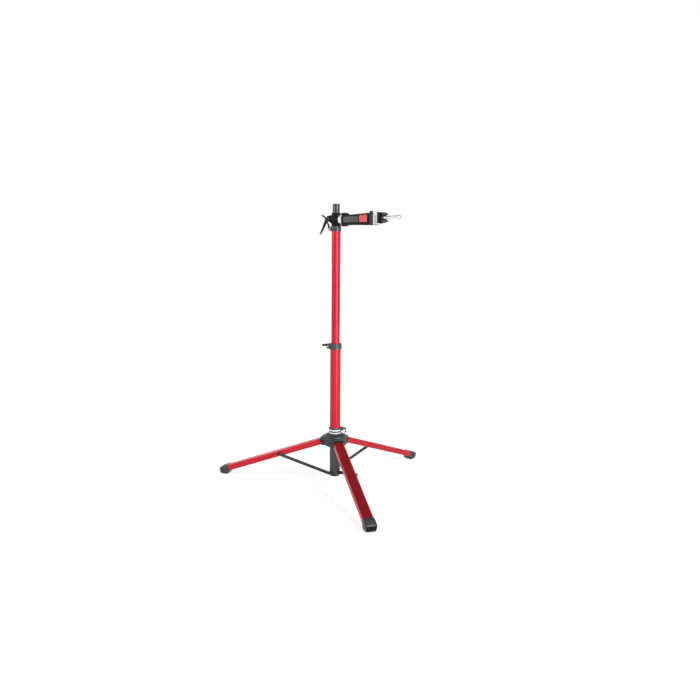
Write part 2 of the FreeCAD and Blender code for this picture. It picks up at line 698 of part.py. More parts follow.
def arm():
    """Arm that turns on the drum: cast body, far cover, side panel, fixed jaw and release button."""
    near = "-arm_near"
    body = new_body("arm_body")
    side_plate(body, on_arm(ARM_SIDE), near, "arm_far")
    side_plate(body, on_arm(YOKE_SIDE), "-0.7 * arm_near", "0.7 * arm_near")
    bore_along_x(body, "0", "0", "drum_radius + 0.3", "drum_start", "arm_start - 0.3")
    side_cut(body, on_arm(HOLLOW_SIDE), near + " + 6", "arm_far + 1")
    bore_along_x(body, "0", "0", "draw_radius + 0.06", "arm_start - 5", "arm_start + 6")
    side_cut(body, arm_box(*BUTTON, gap="slide_gap"), near + " - 1", near + " + 10")
    side_cut(body, on_arm(PANEL_SIDE), near + " - 1", near + " + 1.5")
    for low, high in ((0.12, 0.49), (-0.38, -0.12)):
        side_cut(body, arm_box(0.935, 0.98, low, high), near + " - 1", near + " + 3")
    place(body, z="arm_height")

    panel = new_body("side_panel")
    side_plate(panel, on_arm(PANEL_SIDE), near + " + 0.2", near + " + 1.5")
    place(panel, z="arm_height")

    pin_x = "arm_start + %g * (arm_end - arm_start)" % ((BUTTON[0] + BUTTON[1]) / 2)
    cover = new_body("arm_cover")
    side_plate(cover, on_arm(COVER_SIDE), "arm_far", "arm_far + 4")
    side_plate(cover, on_arm(GUIDE_SIDE), "arm_far + 3", "arm_far + cover_thick")
    slot = "bar_half + slide_gap"
    side_cut(cover, box_points("bar_start - 10", "arm_end + 1", "-%s" % slot.replace(" + ", " - "), slot),
             "bar_side - slide_gap", "bar_side + bar_thick + slide_gap")
    bore_along_y(cover, pin_x, "0", "5.1", "arm_far - 1", "bar_side + 1")
    place(cover, z="arm_height")

    button = new_body("release_button")
    side_plate(button, arm_box(*BUTTON), near + " - 2", near + " + 5")
    dress(button, "Fillet", "4", lambda edge: straight_along(edge, Y))
    dress(button, "Chamfer", "1.2", lambda edge: abs(middle(edge).y + value("arm_near") + 2) < 0.01)
    bar_along_y(button, pin_x, "0", "5", near + " + 5", "arm_far + 3")
    place(button, z="arm_height")

    jaw = new_body("rear_jaw")
    jaw_block(jaw, "arm_end", "tube_centre - jaw_face", -1, "jaw_half")
    place(jaw, z="arm_height")
    soft = new_body("rear_pad")
    jaw_pad(soft, -1)
    place(soft, "tube_centre", "0", "arm_height")


def jaw_block(jaw, x0, x1, side, half):
    """Jaw plate from its back x0 to its face x1, with a round seat for the soft pad about the tube."""
    eased = "%s + %d" % (x1, side)
    side_plate(jaw, [(x0, "-" + half), (eased, "-" + half), (x1, "-%s + 1" % half), (x1, half + " - 1"),
                     (eased, half), (x0, half)], "-jaw_side", "jaw_side")
    sketch = flat(jaw, "XY_Plane", "-jaw_half - 1")
    circle(sketch, "tube_centre", "0", "pad_radius + pad_skin")
    cut(jaw, sketch, "2 * jaw_half + 2")


def jaw_pad(soft, side):
    """Soft pad on one side of the tube; its own frame sits on the axis of the clamped tube."""
    sketch = flat(soft, "XY_Plane", "-jaw_half + 1")
    circle(sketch, "0", "0", "pad_radius + pad_skin")
    pad(soft, sketch, "2 * jaw_half - 2")
    sketch = flat(soft, "XY_Plane", "-jaw_half + 1")
    inner = "%d * pad_gap / 2" % side
    outer = "%d * jaw_face" % side
    polygon(sketch, box_points(inner, outer, "-jaw_side", "jaw_side"))
    pad(soft, sketch, "2 * jaw_half - 2")
    sketch = flat(soft, "XY_Plane", "-jaw_half")
    far = "%d * -40" % side
    polygon(sketch, box_points(far, inner, "-jaw_side - 9", "jaw_side + 9"))
    cut(soft, sketch, "2 * jaw_half")
    sketch = flat(soft, "XY_Plane", "-jaw_half")
    circle(sketch, "0", "0", "pad_radius")
    cut(soft, sketch, "2 * jaw_half")


KNOB_WING = [(0.02, 0.3), (0.36, 0.3), (0.46, 0.44), (0.7, 0.5), (0.96, 0.54), (1, 0.62), (0.97, 0.74),
             (0.8, 0.9), (0.5, 0.98), (0.16, 0.97), (0.02, 0.84)]


def sliding_jaw():
    """Guide bar and carriage, front jaw on its screw, and the wing knob captive on the carriage."""
    bar = new_body("guide_bar")
    side_plate(bar, box_points("bar_start", "carriage_start + 5", "-bar_half", "bar_half"),
               "bar_side", "bar_side + bar_thick")
    for index in range(8):
        x0 = "bar_start + %g * bar_length" % (0.27 + 0.035 * index)
        side_cut(bar, [(x0, "-bar_half - 1"), (x0 + " + 3", "-bar_half - 1"), (x0 + " + 3", "bar_half + 1"),
                       (x0, "bar_half + 1")], "bar_side - 1", "bar_side + 1.2")
    place(bar, z="arm_height")

    carriage = new_body("carriage")
    side_plate(carriage, [("carriage_start", "-front_half + 1"), ("carriage_end - 3", "-front_half + 1"),
                          ("carriage_end", "-front_half + 5"), ("carriage_end", "front_half - 5"),
                          ("carriage_end - 3", "front_half - 1"), ("carriage_start", "front_half - 1")],
               "-jaw_side", "jaw_side - 6")
    side_plate(carriage, box_points("carriage_start", "carriage_end", "-bar_half - 2.5", "bar_half + 2.5"),
               "jaw_side - 7", "bar_side + bar_thick + 3")
    side_cut(carriage, box_points("carriage_start - 1", "carriage_start + 5", "-bar_half", "bar_half"),
             "bar_side", "bar_side + bar_thick")
    bore_along_x(carriage, "0", "0", "screw_radius + 0.3", "carriage_start - 1", "carriage_end + 1")
    bore_along_x(carriage, "0", "0", "13.3", "carriage_end - 5", "carriage_end + 1")
    place(carriage, z="arm_height")

    jaw = new_body("front_jaw")
    jaw_block(jaw, "carriage_start - slide_gap", "tube_centre + jaw_face", 1, "front_half")
    bore_along_x(jaw, "0", "0", "screw_radius", "screw_start - 1", "carriage_start + 1")
    place(jaw, z="arm_height")
    soft = new_body("front_pad")
    jaw_pad(soft, 1)
    for side in (-1, 1):
        lip = box_points("jaw_face - 1", "jaw_face + jaw_thick - 0.3", "%d * (front_half + 0.1)" % side,
                         "%d * (jaw_half - 1)" % side)
        side_plate(soft, lip, "-jaw_side", "jaw_side")
    sketch = flat(soft, "XY_Plane", "-jaw_half")
    circle(sketch, "0", "0", "pad_radius + 0.3")
    cut(soft, sketch, "jaw_half - front_half + 0.5")
    sketch = flat(soft, "XY_Plane", "front_half - 0.5")
    circle(sketch, "0", "0", "pad_radius + 0.3")
    cut(soft, sketch, "jaw_half - front_half + 0.5")
    place(soft, "tube_centre", "0", "arm_height")

    screw = new_body("clamp_screw")
    radius = "screw_radius"
    outline = [("0", "0"), (radius, "0")]
    for share in (0.47, 0.72, 0.9):
        spot = "%g * screw_length" % share
        outline += [(radius, spot + " - 1.7"), (radius + " - 1", spot + " - 0.7"),
                    (radius + " - 1", spot + " + 0.7"), (radius, spot + " + 1.7")]
    outline += [(radius, "screw_length"), (radius + " + 0.8", "screw_length"),
                (radius + " + 0.8", "screw_length + 4"), (radius + " - 1", "screw_length + 6"),
                ("0", "screw_length + 6")]
    turned(screw, outline)
    place(screw, "screw_start", "0", "arm_height", tilt=90)

    knob = new_body("wing_knob")
    bar_along_x(knob, "0", "0", "13", "carriage_end - 4.6", "knob_start")
    bar_along_x(knob, "0", "0", "14", "knob_start", "knob_start + 12")
    for side in (-1, 1):
        wing = []
        for share, level in KNOB_WING:
            wing.append(("knob_start + %g * knob_length" % share, "%g * knob_radius" % (side * level)))
        side_plate(knob, wing, "-0.27 * knob_radius", "0.27 * knob_radius")
    bore_along_x(knob, "0", "0", "screw_radius + 0.3", "carriage_end - 6", "knob_end + 1")
    place(knob, z="arm_height")


def finish():
    doc.recompute()
    os.makedirs("parts", exist_ok=True)
    for thing in doc.Objects:
        for word in ("Invalid", "Error"):
            if word in thing.State:
                raise RuntimeError("%s is %s" % (thing.Label, word))
    for body in pieces:
        shape = body.Shape
        if shape.isNull() or not shape.isValid():
            raise RuntimeError(body.Label + " has no valid shape")
        shape.exportStep("parts/%s.step" % body.Label)


mast_foot()
lower_mast()
hub()
for count, direction in enumerate(LEG_AZIMUTHS, start=1):
    leg(count, direction)
    brace(count, direction)
upper_mast()
head()
arm()
sliding_jaw()
finish()
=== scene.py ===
import json
import math

import bmesh
import bpy
from bpy.props import FloatProperty, FloatVectorProperty, IntProperty, PointerProperty
from bpy.types import Operator, Panel, PropertyGroup
from mathutils import Matrix, Vector


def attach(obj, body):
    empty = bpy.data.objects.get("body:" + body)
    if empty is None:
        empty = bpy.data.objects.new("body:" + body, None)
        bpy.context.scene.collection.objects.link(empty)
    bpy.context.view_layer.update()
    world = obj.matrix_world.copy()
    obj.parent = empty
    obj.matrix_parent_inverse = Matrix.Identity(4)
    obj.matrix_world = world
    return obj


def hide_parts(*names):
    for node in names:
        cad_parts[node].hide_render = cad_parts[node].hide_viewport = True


bl_info = {
    "name": "Repair Stand Dressing",
    "version": (1, 0, 0),
    "blender": (4, 5, 0),
    "location": "3D View > Sidebar > Repair Stand",
    "description": "Finishes, moulded parts, fasteners and studio for a folding bicycle repair stand",
    "category": "Object",
}

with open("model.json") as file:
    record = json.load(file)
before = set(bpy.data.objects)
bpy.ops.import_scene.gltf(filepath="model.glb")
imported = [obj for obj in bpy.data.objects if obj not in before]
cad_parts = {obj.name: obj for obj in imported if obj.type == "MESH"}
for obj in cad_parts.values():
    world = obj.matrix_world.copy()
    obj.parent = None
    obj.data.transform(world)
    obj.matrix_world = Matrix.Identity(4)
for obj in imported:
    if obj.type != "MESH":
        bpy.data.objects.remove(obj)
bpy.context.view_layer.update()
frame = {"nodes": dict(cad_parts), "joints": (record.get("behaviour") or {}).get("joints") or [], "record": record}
NODES = frame["nodes"]
JOINTS = {row["name"]: row for row in frame["joints"]}
SLOT_OF = {name: node.data.materials[0].name for name, node in NODES.items()}

MM = 0.001
LEGS = (1, 2, 3)
LEG_TURNS = {1: math.radians(-30), 2: math.radians(90), 3: math.radians(210)}
ALONG_MAST = (0, -math.pi / 2, 0)
WHOLE_FRAME = Matrix.Identity(4)


def colour(name, about, default):
    return FloatVectorProperty(name=name, description=about, subtype="COLOR", min=0, max=1, default=default)


def length(name, about, default):
    return FloatProperty(name=name, description=about, unit="LENGTH", min=0, default=default)


def angle(name, about, default):
    return FloatProperty(name=name, description=about, subtype="ANGLE", default=math.radians(default))


def power(name, about, default):
    return FloatProperty(name=name, description=about, subtype="POWER", min=0, default=default)


class StandColours(PropertyGroup):
    """Colours of the stand's finishes."""
    red: colour("Anodised red", "Mast tubes and legs", (0.72, 0.030, 0.050))
    red_deep: colour("Anodised red, deep", "Darker streaks of the red tubes", (0.54, 0.013, 0.028))
    charcoal: colour("Charcoal tube", "Column below the hub and tube of the head", (0.088, 0.082, 0.083))
    bar: colour("Powder coated bar", "Flat braces of the legs", (0.070, 0.066, 0.067))
    casting: colour("Black casting", "Head bracket and arm", (0.008, 0.0077, 0.0072))
    jaw: colour("Jaw casting", "Plates of the two jaws", (0.046, 0.042, 0.043))
    nylon: colour("Black nylon", "Hub, collars, plugs and wing knob", (0.022, 0.0235, 0.0225))
    lever: colour("Lever plastic", "Cam levers", (0.014, 0.014, 0.014))
    rubber: colour("Foot rubber", "Caps on the legs", (0.020, 0.0215, 0.0215))
    acetal: colour("Natural acetal", "Bushes between the tubes", (0.74, 0.73, 0.69))
    aluminium: colour("Polished aluminium", "Head drum and hub band", (0.97, 0.97, 0.97))
    zinc: colour("Zinc plate", "Bolts, pins and guide bar", (0.62, 0.62, 0.60))
    chrome: colour("Chrome", "Clamp screw", (0.97, 0.97, 0.98))
    oxide: colour("Black oxide", "Bolts of the legs and braces", (0.022, 0.022, 0.023))
    panel: colour("Side panel", "Insert in the arm", (0.118, 0.120, 0.104))
    button: colour("Red button", "Release button in the arm", (1.0, 0.092, 0.082))
    pad: colour("Jaw pad", "Liners of the jaws", (0.93, 0.92, 0.92))


class StandSizes(PropertyGroup):
    """Sizes of the moulded parts and fasteners."""
    leg_slope: angle("Leg slope", "Fall of an open leg below the level", 20)
    lever_edge: length("Lever edge", "Rounding along the rims of a cam lever", 1.6 * MM)
    cam_radius: length("Cam radius", "Round end of a cam lever about its pin", 7.5 * MM)
    pad_bore: length("Pad bore", "Radius of the hollow in a jaw pad", 15.8 * MM)
    pad_skin: length("Pad skin", "Thickness of a jaw pad round its hollow", 2.6 * MM)
    pad_rib_depth: length("Pad rib depth", "Depth of the grooves in a jaw pad", 0.7 * MM)
    pad_ribs: IntProperty(name="Pad ribs", description="Ribs round a jaw pad", min=3, default=11)
    socket_radius: length("Socket radius", "Corner radius of a hexagon socket", 2.9 * MM)
    ridge_height: length("Ridge height", "Height of the ridges on the release button", 0.25 * MM)


class StudioSettings(PropertyGroup):
    """Camera and light of the studio."""
    distance: length("Camera distance", "From the mast axis, along the floor", 3.5529)
    height: length("Camera height", "Above the floor", 1.2750)
    side: angle("Camera side", "Direction of the camera about the mast", 45.714)
    pitch: angle("Camera pitch", "Downward tilt", 8.1656)
    yaw: angle("Camera yaw", "Turn to the right of the mast", 1.2935)
    roll: angle("Camera roll", "Turn about the line of sight", 0.5004)
    focal: FloatProperty(name="Focal length", description="In pixels of the frame", default=650)
    frame_width: IntProperty(name="Frame width", description="In pixels", default=700)
    key_power: power("Key lamp", "Power of the large lamp", 52)
    fill_power: power("Fill lamp", "Power of the small lamp", 16)
    strip_power: power("Strip lamp", "Power of the upright strip", 45)


def colours():
    return bpy.context.scene.stand_colours


def sizes():
    return bpy.context.scene.stand_sizes


# Places on the frame.

def joint_spot(joint):
    return Vector(JOINTS[joint]["pos_m"])


def leg_frame(number):
    """Frame at a leg's pivot: X runs down the leg and Y across it."""
    turn = Matrix.Rotation(LEG_TURNS[number], 4, "Z") @ Matrix.Rotation(sizes().leg_slope, 4, "Y")
    return Matrix.Translation(joint_spot("leg_fold_%d" % number)) @ turn


def spoke_frame(number, height):
    """Level frame on the mast axis that looks along a leg."""
    return Matrix.Translation((0, 0, height)) @ Matrix.Rotation(LEG_TURNS[number], 4, "Z")


def lever_frame(joint):
    """Frame at a lever's pin: X points away from the mast and Z up."""
    spot = joint_spot(joint)
    return Matrix.Translation(spot) @ Matrix.Rotation(math.atan2(spot.y, spot.x), 4, "Z")


def arm_frame():
    """Frame on the axis of the head, above the mast axis."""
    return Matrix.Translation((0, 0, joint_spot("head_turn").z))


def measured(node, place, near=None):
    """Lowest and highest corner of a node, or of its part where near(point) holds, in a local frame."""
    inverse = place.inverted()
    points = [inverse @ vertex.co for vertex in NODES[node].data.vertices]
    points = [point for point in points if near is None or near(point)]
    if not points:
        raise ValueError("nothing of %s lies there" % node)
    return [Vector([pick(point[k] for point in points) for k in range(3)]) for pick in (min, max)]


# Mesh making.

def soften(points, reach):
    """Round the corners of an outline with short curves that start within reach of each corner."""
    steps = 5
    corners = [Vector(point) for point in points]
    rounded = []
    for k, corner in enumerate(corners):
        ends = []
        for other in (corners[k - 1], corners[(k + 1) % len(corners)]):
            side = other - corner
            ends.append(corner + side * min(0.45, reach / side.length))
        for step in range(steps + 1):
            t = step / steps
            rounded.append(ends[0] * (1 - t) ** 2 + corner * 2 * t * (1 - t) + ends[1] * t ** 2)
    return rounded


def in_mm(points):
    return [(x * MM, z * MM) for x, z in points]


def oblong(left, right, foot, top):
    return [(left, foot), (right, foot), (right, top), (left, top)]


def arc(radius, begin, end, steps):
    """Points on a circle round the origin, from one angle to another."""
    angles = [begin + (end - begin) * step / steps for step in range(steps + 1)]
    return [(radius * math.cos(about), radius * math.sin(about)) for about in angles]


def moved(solid, place):
    """The same solid, taken out of a local frame."""
    bmesh.ops.transform(solid, matrix=place, verts=solid.verts)
    return solid


def plate(outline, low, high, edge, segments=3):
    """Plate of an outline in the local XZ plane, from low to high along Y, with rounded rims."""
    shape = bmesh.new()
    rims = []
    for level in (low, high):
        rims.append([shape.verts.new((x, level, z)) for x, z in outline])
    for k in range(len(outline)):
        shape.faces.new((rims[0][k - 1], rims[0][k], rims[1][k], rims[1][k - 1]))
    for rim in rims:
        shape.faces.new(rim)
    bmesh.ops.recalc_face_normals(shape, faces=shape.faces)
    edges = [e for e in shape.edges if abs(e.verts[0].co.y - e.verts[1].co.y) < 1e-9]
    bmesh.ops.bevel(shape, geom=edges, offset=edge, offset_type="OFFSET", segments=segments,
                    profile=0.5, affect="EDGES", clamp_overlap=True)
    return shape


def column(outline, low, high, edge):
    """Plate of an outline in the local XY plane, from low to high along Z."""
    shape = plate([(x, -y) for x, y in outline], low, high, edge, segments=2)
    return moved(shape, Matrix.Rotation(math.pi / 2, 4, "X"))


def skin_over(shape, loops, closed=False):
    """Faces from each loop of vertices to the next, with flat ends unless the last joins the first."""
    for near, far in zip(loops, loops[1:] + loops[:1] if closed else loops[1:]):
        for k in range(len(near)):
            shape.faces.new((near[k - 1], near[k], far[k], far[k - 1]))
    if not closed:
        shape.faces.new(loops[0])
        shape.faces.new(loops[-1])
    bmesh.ops.recalc_face_normals(shape, faces=shape.faces)
    return shape


def sleeve(sections):
    """Skin over rounded rectangles along local X.

    A section is (along, half width, foot, crown, corner radius, lean, narrowing towards the foot).
    """
    steps = 6
    shape = bmesh.new()
    loops = []
    for along, wide, foot, crown, radius, lean, narrow in sections:
        loop = []
        middle = (foot + crown) / 2
        for corner, (side, up) in enumerate(((1, 1), (-1, 1), (-1, -1), (1, -1))):
            for step in range(steps + 1):
                about = (corner + step / steps) * math.pi / 2
                y = side * (wide - radius) + radius * math.cos(about)
                z = middle + up * ((crown - foot) / 2 - radius) + radius * math.sin(about)
                y *= 1 - narrow * (crown - z) / (crown - foot)
                loop.append(shape.verts.new((along - lean * (z - middle), y, z)))
        loops.append(loop)
    return skin_over(shape, loops)


def turned(rings, steps=48, bored=False):
    """Round solid about local X, bored right through or not. A ring is (along, radius[, sides])."""
    shape = bmesh.new()
    loops = []
    for along, radius, *sides in rings:
        loop = []
        for k in range(steps):
            about = math.tau * k / steps
            reach = radius
            if sides:
                wedge = math.tau / sides[0]
                reach = radius * math.cos(wedge / 2) / math.cos(about % wedge - wedge / 2)
            loop.append(shape.verts.new((along, reach * math.cos(about), reach * math.sin(about))))
        loops.append(loop)
    return skin_over(shape, loops, closed=bored)


def pointing(spot, direction):
    """Frame at a spot whose X runs along a direction."""
    return Matrix.Translation(spot) @ Vector(direction).to_track_quat("X", "Z").to_matrix().to_4x4()


def piece(name, solids, place, body, slot, finish=None, stands_for=(), crease=32):
    """Join solids into one piece of a body, in a local frame, with its slot's finish or one of its own."""
    mesh = bpy.data.meshes.new(name)
    whole = bmesh.new()
    for solid in solids:
        part = bpy.data.meshes.new(name)
        solid.to_mesh(part)
        solid.free()
        whole.from_mesh(part)
        bpy.data.meshes.remove(part)
    moved(whole, place).to_mesh(mesh)
    whole.free()
    mesh.shade_smooth()
    mesh.set_sharp_from_angle(angle=math.radians(crease))
    mesh.materials.append(finish or finish_of(slot))
    made = bpy.data.objects.new(name, mesh)
    bpy.context.scene.collection.objects.link(made)
    normals = made.modifiers.new("Even shading", "WEIGHTED_NORMAL")
    normals.keep_sharp = True
    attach(made, body)
    if stands_for:
        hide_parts(*stands_for)
    return made


# Finishes.

class Graph:
    """Nodes of a material or of the world."""

    def __init__(self, tree):
        self.tree = tree

    def fill(self, made, inputs):
        """Link inputs of a node to sockets, or give them values of their own."""
        for name, source in inputs.items():
            if isinstance(source, bpy.types.NodeSocket):
                self.tree.links.new(source, made.inputs[name])
            else:
                made.inputs[name].default_value = source

    def node(self, kind, inputs=None, **settings):
        made = self.tree.nodes.new(kind)
        for key, setting in settings.items():
            setattr(made, key, setting)
        self.fill(made, inputs or {})
        return made

    def work_out(self, operation, *sources, kind="ShaderNodeMath"):
        """Value of a sum, product or length of its sources."""
        return self.node(kind, dict(enumerate(sources)), operation=operation).outputs["Value"]

    def spread(self, source, low, high, begin=0.3, end=0.7, interpolation="LINEAR"):
        """Stretch the values from begin to end over the range from low to high."""
        inputs = {"Value": source, "From Min": begin, "From Max": end, "To Min": low, "To Max": high}
        return self.node("ShaderNodeMapRange", inputs, interpolation_type=interpolation).outputs["Result"]


class Finish(Graph):
    """One finish: a shader with its constants on its own sockets, and textures in the frame's metres.

    Where it is given a rounding, sharp edges are rounded by that radius in the shading.
    """

    def __init__(self, name, base, metallic, roughness, rounding=0, **more):
        self.material = bpy.data.materials.new(name)
        self.material.use_nodes = True
        self.material.diffuse_color = (*base, 1)
        super().__init__(self.material.node_tree)
        self.shader = self.tree.nodes["Principled BSDF"]
        self.fill(self.shader, {"Base Color": (*base, 1), "Metallic": metallic, "Roughness": roughness})
        self.fill(self.shader, {socket.replace("_", " "): number for socket, number in more.items()})
        self.place = self.node("ShaderNodeTexCoord").outputs["Object"]
        self.normal = None
        if rounding:
            self.normal = self.node("ShaderNodeBevel", {"Radius": rounding}, samples=4).outputs["Normal"]

    def stretched(self, turn, pitch_along, pitch_across):
        """Coordinates along and across a turned X axis, counted in grains of the given sizes."""
        scale = (pitch_along, pitch_across, pitch_across)
        inputs = {"Vector": self.place, "Rotation": turn, "Scale": scale}
        return self.node("ShaderNodeMapping", inputs, vector_type="TEXTURE").outputs["Vector"]

    def noise(self, scale, where=None, detail=3.0, roughness=0.55):
        """Clouds or grain, with this many to the metre unless they are stretched."""
        inputs = {"Vector": where or self.place, "Scale": scale, "Detail": detail, "Roughness": roughness}
        return self.node("ShaderNodeTexNoise", inputs).outputs["Fac"]

    def cells(self, scale):
        """Pits, with this many to the metre."""
        return self.node("ShaderNodeTexVoronoi", {"Vector": self.place, "Scale": scale}).outputs["Distance"]

    def rings(self, pitch, direction):
        """Fine turning marks along one axis of the frame."""
        inputs = {"Vector": self.place, "Scale": math.pi / (10 * pitch), "Distortion": 0.6,
                  "Detail Scale": 2.0}
        made = self.node("ShaderNodeTexWave", inputs, wave_type="BANDS", bands_direction=direction)
        return made.outputs["Fac"]

    def blend(self, share, first, second):
        """Mix of two colours, or of what two sockets give."""
        inputs = {"Factor": share}
        for socket, tint in (("A", first), ("B", second)):
            inputs[socket] = tint if isinstance(tint, bpy.types.NodeSocket) else (*tint, 1)
        return self.node("ShaderNodeMix", inputs, data_type="RGBA").outputs["Result"]

    def mottled(self, texture, first, second):
        """Colour that drifts between two tints with a texture."""
        return self.blend(self.spread(texture, 0.0, 1.0), first, second)

    def near_edges(self):
        """1 on a rounded edge and 0 away from it."""
        flat = self.node("ShaderNodeNewGeometry").outputs["Normal"]
        cosine = self.work_out("DOT_PRODUCT", self.normal, flat, kind="ShaderNodeVectorMath")
        return self.spread(cosine, 1.0, 0.0, begin=0.80, end=0.985)

    def paint(self, source, texture, smoothest, roughest, edge_highlight_and_wear=None):
        """Colour the surface, with edges painted another colour as a highlight and as wear, and vary its gloss
        with a texture.
        """
        # Painted highlight and wear: the edges are blended towards a paler colour.
        if edge_highlight_and_wear:
            source = self.blend(self.near_edges(), source, edge_highlight_and_wear)
        roughness = self.spread(texture, smoothest, roughest)
        self.fill(self.shader, {"Base Color": source, "Roughness": roughness})

    def with_relief(self, source, height, strength):
        """The material, once it has fine relief of a given height."""
        inputs = {"Strength": strength, "Distance": height, "Height": source}
        if self.normal:
            inputs["Normal"] = self.normal
        self.fill(self.shader, {"Normal": self.node("ShaderNodeBump", inputs).outputs["Normal"]})
        return self.material


def scaled(base, factor):
    return tuple(min(1.0, channel * factor) for channel in base)


def anodised(name, light, deep, turn):
    """Anodised tube with fine drawing lines along a turned X axis, slightly cloudy dye, and edges painted paler as
    a highlight and as wear.
    """
    made = Finish(name, light, 0.88, 0.30, 0.8 * MM, Coat_Weight=0.22, Coat_Roughness=0.12)
    lines = made.noise(1.0, made.stretched(turn, 0.11, 0.9 * MM), detail=4)
    cloud = made.noise(9.0, detail=2)
    dye = made.blend(made.spread(cloud, 0.0, 0.55), light, deep)
    dye = made.blend(made.spread(lines, 0.0, 0.35), dye, deep)
    made.paint(dye, lines, 0.24, 0.38, edge_highlight_and_wear=scaled(light, 1.25))
    return made.with_relief(lines, 0.04 * MM, 0.35)


def powder_coated(name, base, roughness, edge_highlight_and_wear_gain=2.2):
    """Powder coat with a fine orange peel, with edges painted paler as a highlight and as wear."""
    made = Finish(name, base, 0.0, roughness, 0.9 * MM, Specular_IOR_Level=0.13)
    patches = made.noise(35, detail=3)
    coat = made.mottled(patches, scaled(base, 0.82), scaled(base, 1.18))
    made.paint(coat, patches, roughness - 0.06, roughness + 0.08, edge_highlight_and_wear=scaled(base, edge_highlight_and_wear_gain))
    return made.with_relief(made.noise(900, detail=2), 0.05 * MM, 0.5)


def moulded(name, base, roughness, grain=1500, depth=0.03 * MM, gloss=0.22, edge_highlight_and_wear_gain=1.9):
    """Moulded plastic or rubber with a fine pitted grain, a faint bloom, and edges painted paler as a highlight
    and as wear.
    """
    made = Finish(name, base, 0.0, roughness, 0.7 * MM, Specular_IOR_Level=gloss)
    bloom = made.noise(22, detail=4)
    skin = made.mottled(bloom, scaled(base, 0.85), scaled(base, 1.22))
    made.paint(skin, bloom, roughness - 0.05, roughness + 0.07, edge_highlight_and_wear=scaled(base, edge_highlight_and_wear_gain))
    return made.with_relief(made.cells(grain), depth, 0.6)


def turned_metal(name, base, roughness, pitch, direction, depth=0.02 * MM, metallic=1.0):
    """Bright metal with turning marks round one axis and light handling haze."""
    made = Finish(name, base, metallic, roughness, 0.5 * MM)
    haze = made.noise(60, detail=4)
    made.paint(made.mottled(haze, base, scaled(base, 0.9)), haze, roughness * 0.7, roughness * 1.5)
    return made.with_relief(made.rings(pitch, direction), depth, 0.3)


def zinc_plated():
    """Bright zinc with a faint warm bloom."""
    base = colours().zinc
    made = Finish("zinc_plate", base, 1.0, 0.32, 0.5 * MM)
    bloom = made.noise(140, detail=5, roughness=0.65)
    made.paint(made.mottled(bloom, scaled(base, 0.82), (0.66, 0.65, 0.60)), bloom, 0.24, 0.44)
    return made.with_relief(made.noise(1800, detail=2), 0.02 * MM, 0.4)


def oiled_black(name, base):
    """Black oxide on a steel fastener, with an uneven film of oil and rims painted paler as a highlight and as
    wear.
    """
    made = Finish(name, base, 0.35, 0.34, 0.5 * MM, Specular_IOR_Level=0.5)
    film = made.noise(160, detail=4)
    skin = made.mottled(film, scaled(base, 0.75), scaled(base, 1.35))
    made.paint(skin, film, 0.26, 0.46, edge_highlight_and_wear=scaled(base, 5))
    return made.with_relief(made.noise(1500, detail=2), 0.02 * MM, 0.4)


def jaw_pad_plastic():
    """Pale tough liner with faint scuffs where tubes have been held."""
    base = colours().pad
    made = Finish("jaw_pad_plastic", base, 0.0, 0.55, Subsurface_Weight=0.08, Subsurface_Scale=0.003)
    scuffs = made.noise(1.0, made.stretched(ALONG_MAST, 0.004, 0.05), detail=6, roughness=0.7)
    cloud = made.noise(40, detail=3)
    skin = made.mottled(cloud, base, scaled(base, 0.93))
    skin = made.blend(made.spread(scuffs, 0.0, 0.5, begin=0.55, end=0.8), skin, scaled(base, 0.7))
    made.paint(skin, cloud, 0.48, 0.64)
    return made.with_relief(made.noise(1200, detail=2), 0.03 * MM, 0.4)


def button_plastic():
    """Glossy red plastic that lets a little light in."""
    base = colours().button
    made = Finish("button_plastic", base, 0.0, 0.30, Coat_Weight=0.3, Coat_Roughness=0.15,
                  Subsurface_Weight=0.05, Subsurface_Scale=0.002)
    cloud = made.noise(120, detail=3)
    made.paint(made.mottled(cloud, base, scaled(base, 0.86)), cloud, 0.24, 0.38)
    return made.with_relief(made.noise(1500, detail=2), 0.02 * MM, 0.35)


def make_finish(slot, turn=ALONG_MAST):
    """The finish of a material slot of the record, with any drawing lines along a turned X axis."""
    tint = colours()
    dark = tint.charcoal
    # The last number given to several finishes below pales their edges: a painted highlight, and wear.
    makers = {
        "red_tube": lambda: anodised("anodised_red", tint.red, tint.red_deep, turn),
        "dark_tube": lambda: anodised("anodised_charcoal", dark, scaled(dark, 0.75), turn),
        "dark_bar": lambda: powder_coated("bar_powder_coat", tint.bar, 0.46),
        "black_casting": lambda: powder_coated("casting_powder_coat", tint.casting, 0.46, edge_highlight_and_wear_gain=7),
        "black_moulding": lambda: moulded("glass_filled_nylon", tint.nylon, 0.46, gloss=0.4, edge_highlight_and_wear_gain=4),
        "lever_plastic": lambda: moulded("lever_nylon", tint.lever, 0.40, 2200, 0.015 * MM, edge_highlight_and_wear_gain=4),
        "foot_rubber": lambda: moulded("foot_rubber", tint.rubber, 0.33, 900, 0.02 * MM, 0.8, edge_highlight_and_wear_gain=5),
        "liner_plastic": lambda: moulded("turned_acetal", tint.acetal, 0.42, 1200, 0.02 * MM, edge_highlight_and_wear_gain=1.05),
        "chrome_rod": lambda: turned_metal("chrome_rod", tint.chrome, 0.09, 0.8 * MM, "X", 0.008 * MM),
        "steel": zinc_plated,
        "black_steel": lambda: oiled_black("black_oxide_steel", tint.oxide),
        "panel": lambda: moulded("side_panel_plastic", tint.panel, 0.55, 1400, edge_highlight_and_wear_gain=1.5),
        "red_plastic": button_plastic,
        "pad": jaw_pad_plastic,
    }
    return makers[slot]()


# Finishes that are made, by slot.
FINISHES = {}


def finish_of(slot):
    if slot not in FINISHES:
        FINISHES[slot] = make_finish(slot)
    return FINISHES[slot]


def dress(names, finish=None):
    """Give frame nodes the finish of their slot, or one of their own."""
    for name in names:
        NODES[name].data.materials[0] = finish or finish_of(SLOT_OF[name])


